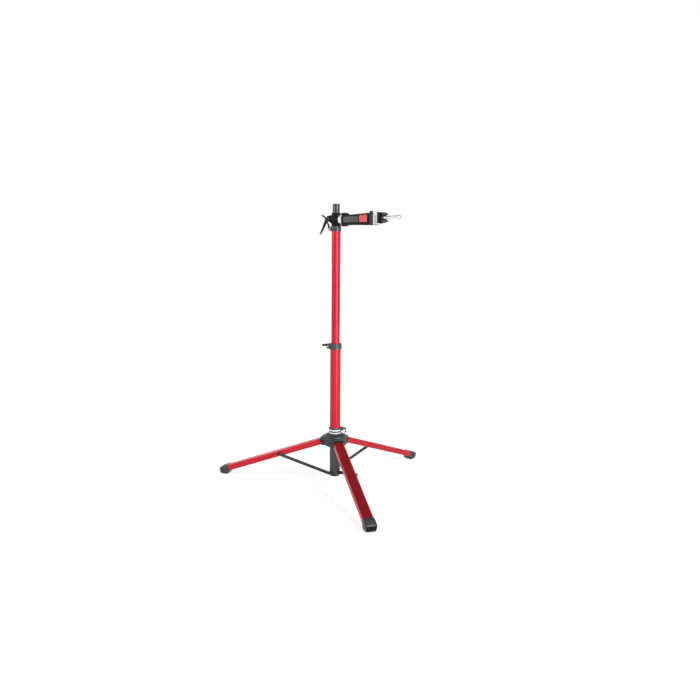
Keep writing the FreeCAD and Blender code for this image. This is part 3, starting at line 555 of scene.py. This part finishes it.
# Operators, in the order in which main runs them.

class MastTubes(Operator):
    """Anodise the tubes of the mast and the dark tubes at its two ends"""
    bl_idname = "stand.mast_tubes"
    bl_label = "Mast tubes"

    def execute(self, context):
        dress(("lower_tube", "upper_tube", "base_column", "top_tube"))
        dress(("base_plug", "upper_plug", "top_cap"))
        dress(("mid_liner", "top_liner", "hub_liner", "upper_glide", "top_glide"))
        return {"FINISHED"}


class Legs(Operator):
    """Anodise the legs along their own length and finish the blocks in their roots"""
    bl_idname = "stand.legs"
    bl_label = "Legs"

    def execute(self, context):
        for number in LEGS:
            turn = (0, sizes().leg_slope, LEG_TURNS[number])
            dress(["leg_tube_%d" % number], make_finish("red_tube", turn))
            dress(["leg_root_%d" % number])
        return {"FINISHED"}


# Sections of a foot cap. Lengths are in millimetres, the others are shares.
# On the leg: along from the open end, share of the half width, up from the underside, down from the top,
# corner radius, narrowing.
CAP_SOCKET = [(0, 0.93, 3, 1.5, 6, 0.02), (2, 0.95, 2, 0.6, 7, 0.02)]
CAP_COLLAR = [(-1.5, 0.90, 5, 3.4, 6, 0), (-1, 0.92, 4.2, 2.6, 6, 0), (3, 0.92, 4.2, 2.6, 6, 0)]
# On the floor: back from the tip, share of the half width, up from the floor, down from the top,
# corner radius, lean, narrowing.
CAP_SOLE = [(42, 0.97, 2, 0.3, 7, 0, 0.04), (36, 0.98, 0, 0.2, 7, 0, 0.06),
            (12, 1, 0.364, 0, 9, 0.048, 0.14)]
# At the nose: back from it, in from the side, up from the sole, down from the top, corner radius.
CAP_NOSE = [(3, 0, 0.5, 3, 9), (0.8, 1, 2, 4.2, 9), (0, 2.6, 3.6, 5.4, 8), (0.4, 4.4, 5.8, 6.4, 7),
            (6, 6, 7, 8, 9)]
CAP_FACE = [(6.5, 5, 6, 7, 9), (4.4, 5.4, 6.4, 7.4, 9), (3.8, 7, 8, 9, 8)]
NOSE_LEAN = 0.16
NOSE_NARROWING = 0.16
NOSE_SETBACK = 2.4 * MM
SOLE_LIFT = 0.6 * MM
# Ridges across the top of a cap: how far each stands back from the tip, and its outline along and up.
CAP_RIDGES = (20, 26, 32, 38)
CAP_RIDGE = [(0, -1.5), (3, -1.5), (2.4, 0.2), (0.6, 0.2)]
CAP_RIDGE_INSET = 11 * MM


def cap_sections(low, high, floor):
    """Sections of a foot cap's body, collar and end face in its leg's frame, over the floor."""
    wide, top = high.y, high.z
    nose, sole = high.x - NOSE_SETBACK, floor(high.x) + SOLE_LIFT

    def on_leg(along, share, foot, crown, corner, narrow):
        return low.x + along * MM, share * wide, foot * MM - top, top - crown * MM, corner * MM, 0, narrow

    def on_floor(back, share, foot, crown, corner, lean, narrow):
        along = high.x - back * MM
        return along, share * wide, floor(along) + foot * MM, top - crown * MM, corner * MM, lean, narrow

    def at_nose(back, inset, foot, crown, corner):
        return (nose - back * MM, wide - inset * MM, sole + foot * MM, top - crown * MM, corner * MM,
                NOSE_LEAN, NOSE_NARROWING)

    body = [on_leg(*row) for row in CAP_SOCKET]
    body += [on_floor(*row) for row in CAP_SOLE]
    body += [at_nose(*row) for row in CAP_NOSE]
    return body, [on_leg(*row) for row in CAP_COLLAR], [at_nose(*row) for row in CAP_FACE]


class FootCaps(Operator):
    """Mould the rubber caps on the legs, flat on the floor"""
    bl_idname = "stand.foot_caps"
    bl_label = "Foot caps"

    def execute(self, context):
        slope = sizes().leg_slope
        # Painted shade: the recessed end face of each cap gets a rubber darker than the body, for the shade inside
        # the recess.
        painted_shade = moulded("cap_face_rubber", scaled(colours().rubber, 0.6), 0.7, 900, gloss=0.15, edge_highlight_and_wear_gain=1.5)
        for number in LEGS:
            leg, node = "leg_%d" % number, "foot_cap_%d" % number
            place = leg_frame(number)
            low, high = measured(node, place)
            pivot = joint_spot("leg_fold_%d" % number).z
            body, collar, face = cap_sections(
                low, high, lambda along: along * math.tan(slope) - pivot / math.cos(slope))
            solids = [sleeve(body), sleeve(collar)] + self.ridges(low, high)
            piece("foot_cap_rubber_%d" % number, solids, place, leg, "foot_rubber", stands_for=[node])
            piece("foot_cap_face_%d" % number, [sleeve(face)], place, leg, "foot_rubber", painted_shade)
        return {"FINISHED"}

    def ridges(self, low, high):
        """Grip ridges across the top of a cap."""
        solids = []
        for back in CAP_RIDGES:
            ridge = [(high.x - back * MM + x, high.z + z) for x, z in in_mm(CAP_RIDGE)]
            ends = (low.y + CAP_RIDGE_INSET, high.y - CAP_RIDGE_INSET)
            solids.append(plate(ridge, *ends, 0.4 * MM, segments=2))
        return solids


class Hub(Operator):
    """Finish the moulded hub, its polished band and its collar"""
    bl_idname = "stand.hub"
    bl_label = "Hub"

    def execute(self, context):
        smooth = moulded("hub_nylon", scaled(colours().nylon, 1.7), 0.42, gloss=0.55, edge_highlight_and_wear_gain=3)
        dress(("leg_hub", "hub_collar_ring"), smooth)
        band = turned_metal("band_aluminium", colours().aluminium, 0.2, 0.5 * MM, "Z")
        dress(["hub_collar_band"], band)
        self.ring_the_band()
        return {"FINISHED"}

    def ring_the_band(self):
        """Very dark ring seated in the groove of the band, with a bead round its middle: painted shade in the
        groove.
        """
        name = "hub_collar_band"
        low, high = measured(name, WHOLE_FRAME)
        rim = 4 * MM
        groove = [spot.z for spot in (vertex.co for vertex in NODES[name].data.vertices)
                  if math.hypot(spot.x, spot.y) < high.x - 1 * MM and low.z + rim < spot.z < high.z - rim]
        foot, top = min(groove), max(groove)
        middle = (foot + top) / 2
        bead = 3.2 * MM
        floor, face, crown = high.x - 2.4 * MM, high.x - 0.3 * MM, high.x + 0.3 * MM
        rings = [(foot, floor), (foot, face), (middle - bead, face), (middle - bead, crown),
                 (middle + bead, crown), (middle + bead, face), (top, face), (top, floor)]
        ring = turned(rings, steps=72, bored=True)
        # Painted shade: the ring is made far darker than the nylon, for the shade in the groove.
        painted_shade = moulded("band_ring_rubber", scaled(colours().nylon, 0.3), 0.6, gloss=0.1, edge_highlight_and_wear_gain=1.2)
        piece("hub_band_ring", [ring], Matrix.Rotation(-math.pi / 2, 4, "Y"), "hub", "black_moulding", painted_shade)


class Collars(Operator):
    """Finish the clamp collars of the mast and the pins of their levers"""
    bl_idname = "stand.collars"
    bl_label = "Clamp collars"

    def execute(self, context):
        shiny = moulded("collar_nylon", scaled(colours().nylon, 1.7), 0.26, 2200, 0.01 * MM, 0.7, edge_highlight_and_wear_gain=4)
        dress(("mid_collar", "top_collar"), shiny)
        dress(("mid_collar_pin", "hub_collar_pin", "top_collar_pin", "head_lever_pin"))
        return {"FINISHED"}


# Side outlines of the cam levers, outward and up from the pin, in millimetres.
LEVER_OUTLINES = {
    "mid_collar_lever": [(-1, 7), (10, 12), (22, 12), (31, 8), (32, 3), (30, -2), (20, 2), (10, 1),
                         (4, -6)],
    "top_collar_lever": [(8, -4), (11, 20), (18, 42), (28, 57), (43, 68), (44, 72), (41, 74), (26, 67),
                         (13, 50), (4, 26), (-3, 8)],
    "head_lever": [(-2, 7), (6, 11), (16, 10), (26, 3), (36, -10), (48, -31), (62, -55), (78, -78),
                   (79, -83), (74, -83), (57, -62), (42, -38), (31, -21), (21, -9), (12, -5), (4, -6)],
    "hub_collar_lever": [(-2, 8), (9, 7), (15, 4), (19, -2), (20, -9), (18, -16), (13, -22), (9, -23),
                         (8, -19), (12, -17), (14, -12), (14, -6), (11, -1), (6, 1), (2, -7)],
}
# Where a blade narrows: from and to, in millimetres from the pin, and the share of its width at the tip.
LEVER_TAPERS = {"head_lever": (24, 74, 0.33)}
LEVER_CORNER = 8 * MM


class Levers(Operator):
    """Mould the four cam levers with rounded rims about their pins"""
    bl_idname = "stand.levers"
    bl_label = "Cam levers"

    def execute(self, context):
        for name, outline in LEVER_OUTLINES.items():
            joint = "%s_lever_open" % name.split("_")[0]
            place = lever_frame(joint)
            low, high = measured(name, place)
            blade = plate(soften(in_mm(outline), LEVER_CORNER), low.y, high.y, sizes().lever_edge)
            if name in LEVER_TAPERS:
                self.narrow(blade, *LEVER_TAPERS[name])
            radius = sizes().cam_radius
            chamfer = 1 * MM
            cam = turned([(low.y, radius - chamfer), (low.y + chamfer, radius), (high.y - chamfer, radius),
                          (high.y, radius - chamfer)])
            solids = [blade, moved(cam, Matrix.Rotation(math.pi / 2, 4, "Z"))]
            body = JOINTS[joint]["child"]
            piece(name + "_moulding", solids, place, body, "lever_plastic", stands_for=[name])
        return {"FINISHED"}

    def narrow(self, blade, begin, end, left):
        """Taper a blade across its width towards its tip."""
        for vertex in blade.verts:
            share = min(1, max(0, (vertex.co.x / MM - begin) / (end - begin)))
            vertex.co.y *= 1 - share * (1 - left)


class Braces(Operator):
    """Finish the flat braces and the spacers on the legs"""
    bl_idname = "stand.braces"
    bl_label = "Braces"

    def execute(self, context):
        for number in LEGS:
            dress(("brace_%d" % number, "brace_spacer_%d" % number))
        return {"FINISHED"}


# Bolts and screws, as arguments of bolt.
PIVOT_BOLT = {"head_radius": 7.5 * MM, "head_height": 3 * MM, "shank_radius": 4 * MM}
BRACE_BOLT = {"head_radius": 7.6 * MM, "head_height": 4 * MM, "shank_radius": 4 * MM}
COVER_SCREW = {"head_radius": 3.6 * MM, "head_height": 2 * MM, "shank_radius": 2 * MM}
PIVOT_NUT_RADIUS = 7.4 * MM
PIVOT_NUT_HEIGHT = 3 * MM


def bolt(low, high, axis_x, axis_z, head_radius, head_height, shank_radius):
    """Dome head bolt with a hexagon socket, along local Y from its end at low to its head at high."""
    end = high - low
    seat = end - head_height
    socket = sizes().socket_radius
    rings = [(0, shank_radius - 0.5 * MM), (0.5 * MM, shank_radius), (seat, shank_radius),
             (seat, head_radius), (end - 0.55 * head_height, head_radius),
             (end - 0.2 * head_height, head_radius * 0.88), (end, head_radius * 0.62),
             (end, socket * 1.06, 6), (end - 0.3 * MM, socket, 6), (end - 0.65 * head_height, socket, 6)]
    return moved(turned(rings), pointing(Vector((axis_x, low, axis_z)), (0, 1, 0)))


def nut(low, high, axis_x, axis_z, radius):
    """Hexagon nut with chamfered corners and a round locking ring, along local Y."""
    depth = high - low
    rings = [(0, radius * 0.9), (0.15 * depth, radius * 0.97, 6), (0.8 * depth, radius * 0.97, 6),
             (depth, radius * 0.82), (depth, radius * 0.5), (depth - 0.8 * MM, radius * 0.48)]
    return moved(turned(rings), pointing(Vector((axis_x, high, axis_z)), (0, -1, 0)))


class LegBolts(Operator):
    """Make the bolts of the leg pivots, the brace feet and the brace ends"""
    bl_idname = "stand.leg_bolts"
    bl_label = "Leg and brace bolts"

    def execute(self, context):
        slot = SLOT_OF["leg_pivot_pins"]
        for number in LEGS:
            place = leg_frame(number)
            low, high = measured("brace_bolt_%d" % number, place)
            middle = (low + high) / 2
            solid = bolt(low.y, high.y, middle.x, middle.z, **BRACE_BOLT)
            piece("brace_end_bolt_%d" % number, [solid], place, "brace_arm_%d" % number, slot,
                  stands_for=["brace_bolt_%d" % number])
        pivots = [solid for number in LEGS for solid in self.pivot_bolt(number)]
        piece("leg_pivot_bolts", pivots, WHOLE_FRAME, "hub", slot, stands_for=["leg_pivot_pins"])
        feet = [self.foot_bolt(number) for number in LEGS]
        piece("brace_foot_dome_bolts", feet, WHOLE_FRAME, "mast", slot, stands_for=["brace_foot_bolts"])
        return {"FINISHED"}

    def pivot_bolt(self, number):
        """Bolt and nut that hold a leg in the hub."""
        pivot = joint_spot("leg_fold_%d" % number)
        reach = math.hypot(pivot.x, pivot.y)
        place = spoke_frame(number, pivot.z)
        low, high = measured("leg_pivot_pins", place,
                             lambda p: abs(p.x - reach) < 9 * MM and abs(p.y) < 40 * MM)
        seat = low.y + PIVOT_NUT_HEIGHT
        solids = (bolt(seat, high.y, reach, 0, **PIVOT_BOLT), nut(low.y, seat, reach, 0, PIVOT_NUT_RADIUS))
        return [moved(solid, place) for solid in solids]

    def foot_bolt(self, number):
        """Bolt that holds the foot of a brace on the column."""
        place = spoke_frame(number, joint_spot("brace_swing_%d" % number).z)
        low, high = measured("brace_foot_bolts", place, lambda p: abs(p.x) < 9 * MM and p.y > 5 * MM)
        return moved(bolt(low.y, high.y, 0, 0, **BRACE_BOLT), place)


class Head(Operator):
    """Finish the bracket, the polished drum and the draw bolt of the head"""
    bl_idname = "stand.head"
    bl_label = "Head"

    def execute(self, context):
        dress(("head_bracket", "draw_bolt"))
        drum = turned_metal("drum_aluminium", colours().aluminium, 0.3, 0.5 * MM, "X", metallic=0.6)
        dress(["head_drum"], drum)
        return {"FINISHED"}


# How much of the length of the arm's cover is its narrow neck.
NECK_SHARE = 0.42


class ArmShell(Operator):
    """Finish the arm, its side panel and its cover, and drive the cover's screws"""
    bl_idname = "stand.arm_shell"
    bl_label = "Arm"

    def execute(self, context):
        dress(("arm_body", "arm_cover", "side_panel"))
        place = arm_frame()
        low, high = measured("arm_cover", place)
        inset = 11 * MM
        root = low.x + NECK_SHARE * (high.x - low.x)
        solids = [bolt(high.y - 2 * MM, high.y + 2 * MM, x, z, **COVER_SCREW)
                  for x in (root + inset, high.x - inset) for z in (high.z - inset, low.z + inset + 3 * MM)]
        solids += [bolt(low.y + 2 * MM, low.y + 6 * MM, low.x + inset, z, **COVER_SCREW)
                   for z in (8 * MM, -8 * MM)]
        piece("arm_cover_screws", solids, place, "arm", "steel")
        return {"FINISHED"}


# The cap of the release button ends here across the arm, and its stem begins.
BUTTON_BACK = -14 * MM
RIDGE_PITCH = 7 * MM
RIDGE_MARGIN = 7 * MM
RIDGE_HALF_WIDTH = 1.2 * MM
STEM_RADIUS = 5 * MM


class ReleaseButton(Operator):
    """Mould the red release button with its ridges"""
    bl_idname = "stand.release_button"
    bl_label = "Release button"

    def execute(self, context):
        node = "release_button"
        place = arm_frame()
        low, high = measured(node, place, lambda p: p.y < BUTTON_BACK)
        outline = soften(oblong(low.x, high.x, low.z, high.z), 4 * MM)
        solids = [plate(outline, low.y, high.y, 1.6 * MM, segments=4)]
        middle = (low + high) / 2
        crest = low.y - sizes().ridge_height
        for step in (-2, -1, 0, 1, 2):
            x = middle.x + step * RIDGE_PITCH
            ridge = oblong(x - RIDGE_HALF_WIDTH, x + RIDGE_HALF_WIDTH, low.z + RIDGE_MARGIN,
                           high.z - RIDGE_MARGIN)
            solids.append(plate(soften(ridge, 1 * MM), crest, low.y + 1 * MM, 0.5 * MM))
        stem_low, stem_high = measured(node, place, lambda p: p.y > BUTTON_BACK)
        stem = turned([(high.y - 1 * MM, STEM_RADIUS), (stem_high.y - 1 * MM, STEM_RADIUS),
                       (stem_high.y, STEM_RADIUS - 0.8 * MM)])
        axis = Vector((middle.x, 0, (stem_low.z + stem_high.z) / 2))
        solids.append(moved(stem, pointing(axis, (0, 1, 0))))
        piece("release_button_moulding", solids, place, "button", "red_plastic", stands_for=[node])
        return {"FINISHED"}


# From the axis of the clamped tube to the back of a jaw pad.
PAD_BACK = 13.5 * MM
# How far the lips of a jaw lap over the back of its pad, and how far behind it they are measured.
LIP_LAP = 0.8 * MM
LIP_OVERHANG = 6 * MM


def pad_section(mouth, wing):
    """Outline of a jaw pad about the axis of the clamped tube: flat wings, the back and a ribbed hollow."""
    bore, skin, count = sizes().pad_bore, sizes().pad_skin, sizes().pad_ribs
    back_angle = math.acos(PAD_BACK / (bore + skin))
    open_angle = math.acos(mouth / bore)
    outline = [(mouth, -wing), (PAD_BACK, -wing)]
    outline += arc(bore + skin, -back_angle, back_angle, 16)
    outline += [(PAD_BACK, wing), (mouth, wing)]
    steps = 8 * count
    for step in range(steps + 1):
        share = step / steps
        about = open_angle * (1 - 2 * share)
        reach = bore + sizes().pad_rib_depth * (0.5 - 0.5 * math.cos(math.tau * count * share))
        outline.append((reach * math.cos(about), reach * math.sin(about)))
    return outline


class Jaws(Operator):
    """Finish the jaws and the carriage, and line the jaws with ribbed pads"""
    bl_idname = "stand.jaws"
    bl_label = "Jaws and pads"

    def execute(self, context):
        plates = powder_coated("jaw_powder_coat", colours().jaw, 0.42, edge_highlight_and_wear_gain=3)
        dress(("rear_jaw", "front_jaw"), plates)
        dress(("carriage", "guide_bar"))
        mount = next(row for row in frame["record"]["mounts"] if row["name"] == "tube_clamp")
        for name, body in (("rear_pad", "arm"), ("front_pad", "jaw")):
            self.line_jaw(name, body, mount["pos_m"][0])
        return {"FINISHED"}

    def line_jaw(self, name, body, centre):
        """Pad of a jaw and its lips; centre is where the axis of the clamped tube stands along the arm."""
        place = arm_frame()
        low, high = measured(name, place)
        side = -1 if high.x < centre else 1
        mouth = abs((high.x if side < 0 else low.x) - centre)
        section = [(centre + side * x, y) for x, y in pad_section(mouth, high.y)]
        solids = [column(section, low.z, high.z, 0.5 * MM)]
        solids += self.lips(name, place, centre, side)
        piece(name + "_liner", solids, place, body, "pad", stands_for=[name], crease=40)

    def lips(self, name, place, centre, side):
        """Lips that fold over the top and bottom of a jaw, hollowed round the clamped tube, or none."""
        low, high = measured(name, place)
        reach = max(side * (low.x - centre), side * (high.x - centre))
        if reach < PAD_BACK + LIP_OVERHANG + 1 * MM:
            return []
        bore = sizes().pad_bore + 1 * MM
        start = PAD_BACK - LIP_LAP
        open_angle = math.acos(start / bore)
        made = []
        for up in (-1, 1):
            near, far = measured(name, place, lambda p: side * (p.x - centre) > PAD_BACK + LIP_OVERHANG
                                 and p.z * up > 0)
            outline = [(reach, near.y), (reach, far.y), (start, far.y)]
            outline += arc(bore, open_angle, -open_angle, 8)
            outline.append((start, near.y))
            made.append(column([(centre + side * x, y) for x, y in outline], near.z, far.z, 1.2 * MM))
        return made


# Barrel of the wing knob: along from its inner end and radius, in millimetres.
KNOB_BARREL = [(0, 8.8), (0, 13), (5, 13), (6, 14), (15, 14), (17, 12.5), (17, 11), (15.5, 10.5),
               (15.5, 8.8)]
# Outline of a wing: share of the reach beyond the barrel's shoulder, and share of the knob's radius.
KNOB_WING = [(0.02, 0.32), (0.32, 0.32), (0.44, 0.38), (0.62, 0.44), (0.92, 0.46), (1, 0.55), (0.99, 0.7),
             (0.88, 0.84), (0.6, 0.96), (0.2, 1), (0.02, 0.9)]
KNOB_SHOULDER = 5 * MM


class ClampScrew(Operator):
    """Chrome the clamp screw and turn its wing knob"""
    bl_idname = "stand.clamp_screw"
    bl_label = "Clamp screw and knob"

    def execute(self, context):
        dress(["clamp_screw"])
        place = arm_frame()
        low, high = measured("wing_knob", place)
        rings = [(low.x + along, radius) for along, radius in in_mm(KNOB_BARREL)]
        solids = [turned(rings, steps=72, bored=True)]
        shoulder = low.x + KNOB_SHOULDER
        span = high.x - shoulder
        edge_low, edge_high = measured("wing_knob", place, lambda p: p.x > high.x - 6 * MM)
        for side in (-1, 1):
            outline = [(shoulder + share * span, side * level * high.z) for share, level in KNOB_WING]
            solids.append(plate(soften(outline, 4 * MM), edge_low.y, edge_high.y, 2.6 * MM, segments=4))
        smooth = moulded("knob_nylon", scaled(colours().nylon, 1.3), 0.4, gloss=0.5, edge_highlight_and_wear_gain=3)
        piece("wing_knob_moulding", solids, place, "knob", "black_moulding", smooth, ["wing_knob"])
        return {"FINISHED"}


# Studio.

WHITE = (1, 1, 1, 1)
FLOOR_GREY = (0.55, 0.55, 0.55, 1)
FLOOR_REACH = 80
SENSOR_WIDTH = 36
# Lamps, in metres: to the right of the stand, towards the camera, height, width, how tall it is if it is a
# strip, height of the aim.
LAMPS = {"key": (2.2, 1.6, 3.2, 1.2, None, 0.8), "fill": (-2.6, 0.9, 2.0, 0.7, None, 0.8),
         "strip": (1.9, 2.9, 1.25, 0.4, 2.4, 1.25)}


def paint_world(scene, behind, bright):
    """Surroundings that are white behind the stand, dimmer in front of it with one bright side."""
    world = bpy.data.worlds.new("Studio")
    scene.world = world
    world.use_nodes = True
    graph = Graph(world.node_tree)
    back = graph.tree.nodes["Background"]
    place = graph.node("ShaderNodeTexCoord").outputs["Generated"]

    def towards(direction, begin, end, low, high):
        cosine = graph.work_out("DOT_PRODUCT", place, direction, kind="ShaderNodeVectorMath")
        return graph.spread(cosine, low, high, begin, end, "SMOOTHSTEP")

    side = towards(bright, 0.72, 0.99, 0.0, 0.9)
    front = towards(behind, -0.75, -0.05, 1.0, 0.74)
    ceiling = towards((0, 0, 1), 0.38, 0.85, 1.0, 0.16)
    around = graph.work_out("ADD", front, side)
    graph.fill(back, {"Color": WHITE, "Strength": graph.work_out("MULTIPLY", around, ceiling)})


def lay_floor(scene):
    """Wide pale floor that keeps a faint shadow."""
    mesh = bpy.data.meshes.new("studio_floor")
    corners = oblong(-FLOOR_REACH, FLOOR_REACH, -FLOOR_REACH, FLOOR_REACH)
    mesh.from_pydata([(x, y, 0) for x, y in corners], [], [(0, 1, 2, 3)])
    floor = bpy.data.objects.new("studio_floor", mesh)
    scene.collection.objects.link(floor)
    paint = bpy.data.materials.new("studio_floor")
    paint.use_nodes = True
    graph = Graph(paint.node_tree)
    # Seen directly the floor glows to white away from the stand, and a little less in a reflection.
    path = graph.node("ShaderNodeLightPath").outputs
    seen = graph.work_out("MULTIPLY_ADD", path["Is Glossy Ray"], 0.62, path["Is Camera Ray"])
    place = graph.node("ShaderNodeTexCoord").outputs["Object"]
    away = graph.work_out("LENGTH", place, kind="ShaderNodeVectorMath")
    glow = graph.spread(away, 0.70, 1.0, 0.9, 3.0, "SMOOTHSTEP")
    graph.fill(graph.tree.nodes["Principled BSDF"], {
        "Base Color": FLOOR_GREY, "Roughness": 0.9, "Specular IOR Level": 0.1, "Emission Color": WHITE,
        "Emission Strength": graph.work_out("MULTIPLY", seen, glow)})
    mesh.materials.append(paint)


def hang_lamp(scene, name, spot, aim, width, tall, energy):
    """Round lamp, or an upright strip where it is given how tall it is."""
    lamp = bpy.data.lights.new(name, "AREA")
    lamp.shape = "RECTANGLE" if tall else "DISK"
    lamp.size = width
    if tall:
        lamp.size_y = tall
    lamp.energy = energy
    hung = bpy.data.objects.new(name, lamp)
    scene.collection.objects.link(hung)
    hung.location = spot
    hung.rotation_mode = "QUATERNION"
    hung.rotation_quaternion = (aim - spot).to_track_quat("-Z", "Y")


def camera_turn(studio):
    """How the camera is turned from a level view along Y: its right, forward and up are the columns."""
    level = Matrix.Rotation(studio.side - studio.yaw, 4, "Z")
    return level @ Matrix.Rotation(-studio.pitch, 4, "X") @ Matrix.Rotation(-studio.roll, 4, "Y")


def set_camera(scene, studio):
    data = bpy.data.cameras.new("Photo camera")
    data.sensor_width = SENSOR_WIDTH
    data.lens = SENSOR_WIDTH * studio.focal / studio.frame_width
    camera = bpy.data.objects.new("Photo camera", data)
    scene.collection.objects.link(camera)
    spot = Matrix.Rotation(studio.side, 4, "Z") @ Vector((0, -studio.distance, studio.height))
    upright = Matrix.Rotation(math.pi / 2, 4, "X")
    camera.matrix_world = Matrix.Translation(spot) @ camera_turn(studio) @ upright
    scene.camera = camera


class Stage(Operator):
    """Set the floor, the light and the camera of the photograph"""
    bl_idname = "stand.stage"
    bl_label = "Studio"

    def execute(self, context):
        scene = context.scene
        studio = scene.stand_studio
        lay_floor(scene)
        right, forward = camera_turn(studio).to_3x3().col[:2]
        level = Vector((forward.x, forward.y, 0)).normalized()
        bright = (right * 0.53 - level * 0.85).normalized()
        paint_world(scene, -level, bright)
        for name, (beside, nearer, height, width, tall, aim) in LAMPS.items():
            spot = right * beside - level * nearer + Vector((0, 0, height))
            energy = getattr(studio, name + "_power")
            hang_lamp(scene, name + "_lamp", spot, Vector((0, 0, aim)), width, tall, energy)
        set_camera(scene, studio)
        scene.view_settings.view_transform = "Standard"
        return {"FINISHED"}


OPERATORS = (MastTubes, Legs, FootCaps, Hub, Collars, Levers, Braces, LegBolts, Head, ArmShell,
             ReleaseButton, Jaws, ClampScrew, Stage)
GROUPS = {"stand_colours": StandColours, "stand_sizes": StandSizes, "stand_studio": StudioSettings}


class StandPanel(Panel):
    """Lists the steps that dress the repair stand"""
    bl_idname = "VIEW3D_PT_repair_stand"
    bl_label = "Repair Stand"
    bl_space_type = "VIEW_3D"
    bl_region_type = "UI"
    bl_category = "Repair Stand"

    def draw(self, context):
        for operator in OPERATORS:
            self.layout.operator(operator.bl_idname)
        for holder in GROUPS:
            group = getattr(context.scene, holder)
            box = self.layout.box()
            for name in group.bl_rna.properties.keys():
                if name not in ("rna_type", "name"):
                    box.prop(group, name)


def register():
    for made in (*GROUPS.values(), *OPERATORS, StandPanel):
        bpy.utils.register_class(made)
    for holder, group in GROUPS.items():
        setattr(bpy.types.Scene, holder, PointerProperty(type=group))


def unregister():
    for holder in GROUPS:
        delattr(bpy.types.Scene, holder)
    for made in reversed((*GROUPS.values(), *OPERATORS, StandPanel)):
        bpy.utils.unregister_class(made)


def main():
    register()
    bpy.ops.stand.mast_tubes()
    bpy.ops.stand.legs()
    bpy.ops.stand.foot_caps()
    bpy.ops.stand.hub()
    bpy.ops.stand.collars()
    bpy.ops.stand.levers()
    bpy.ops.stand.braces()
    bpy.ops.stand.leg_bolts()
    bpy.ops.stand.head()
    bpy.ops.stand.arm_shell()
    bpy.ops.stand.release_button()
    bpy.ops.stand.jaws()
    bpy.ops.stand.clamp_screw()
    bpy.ops.stand.stage()


if __name__ == "__main__":
    main()
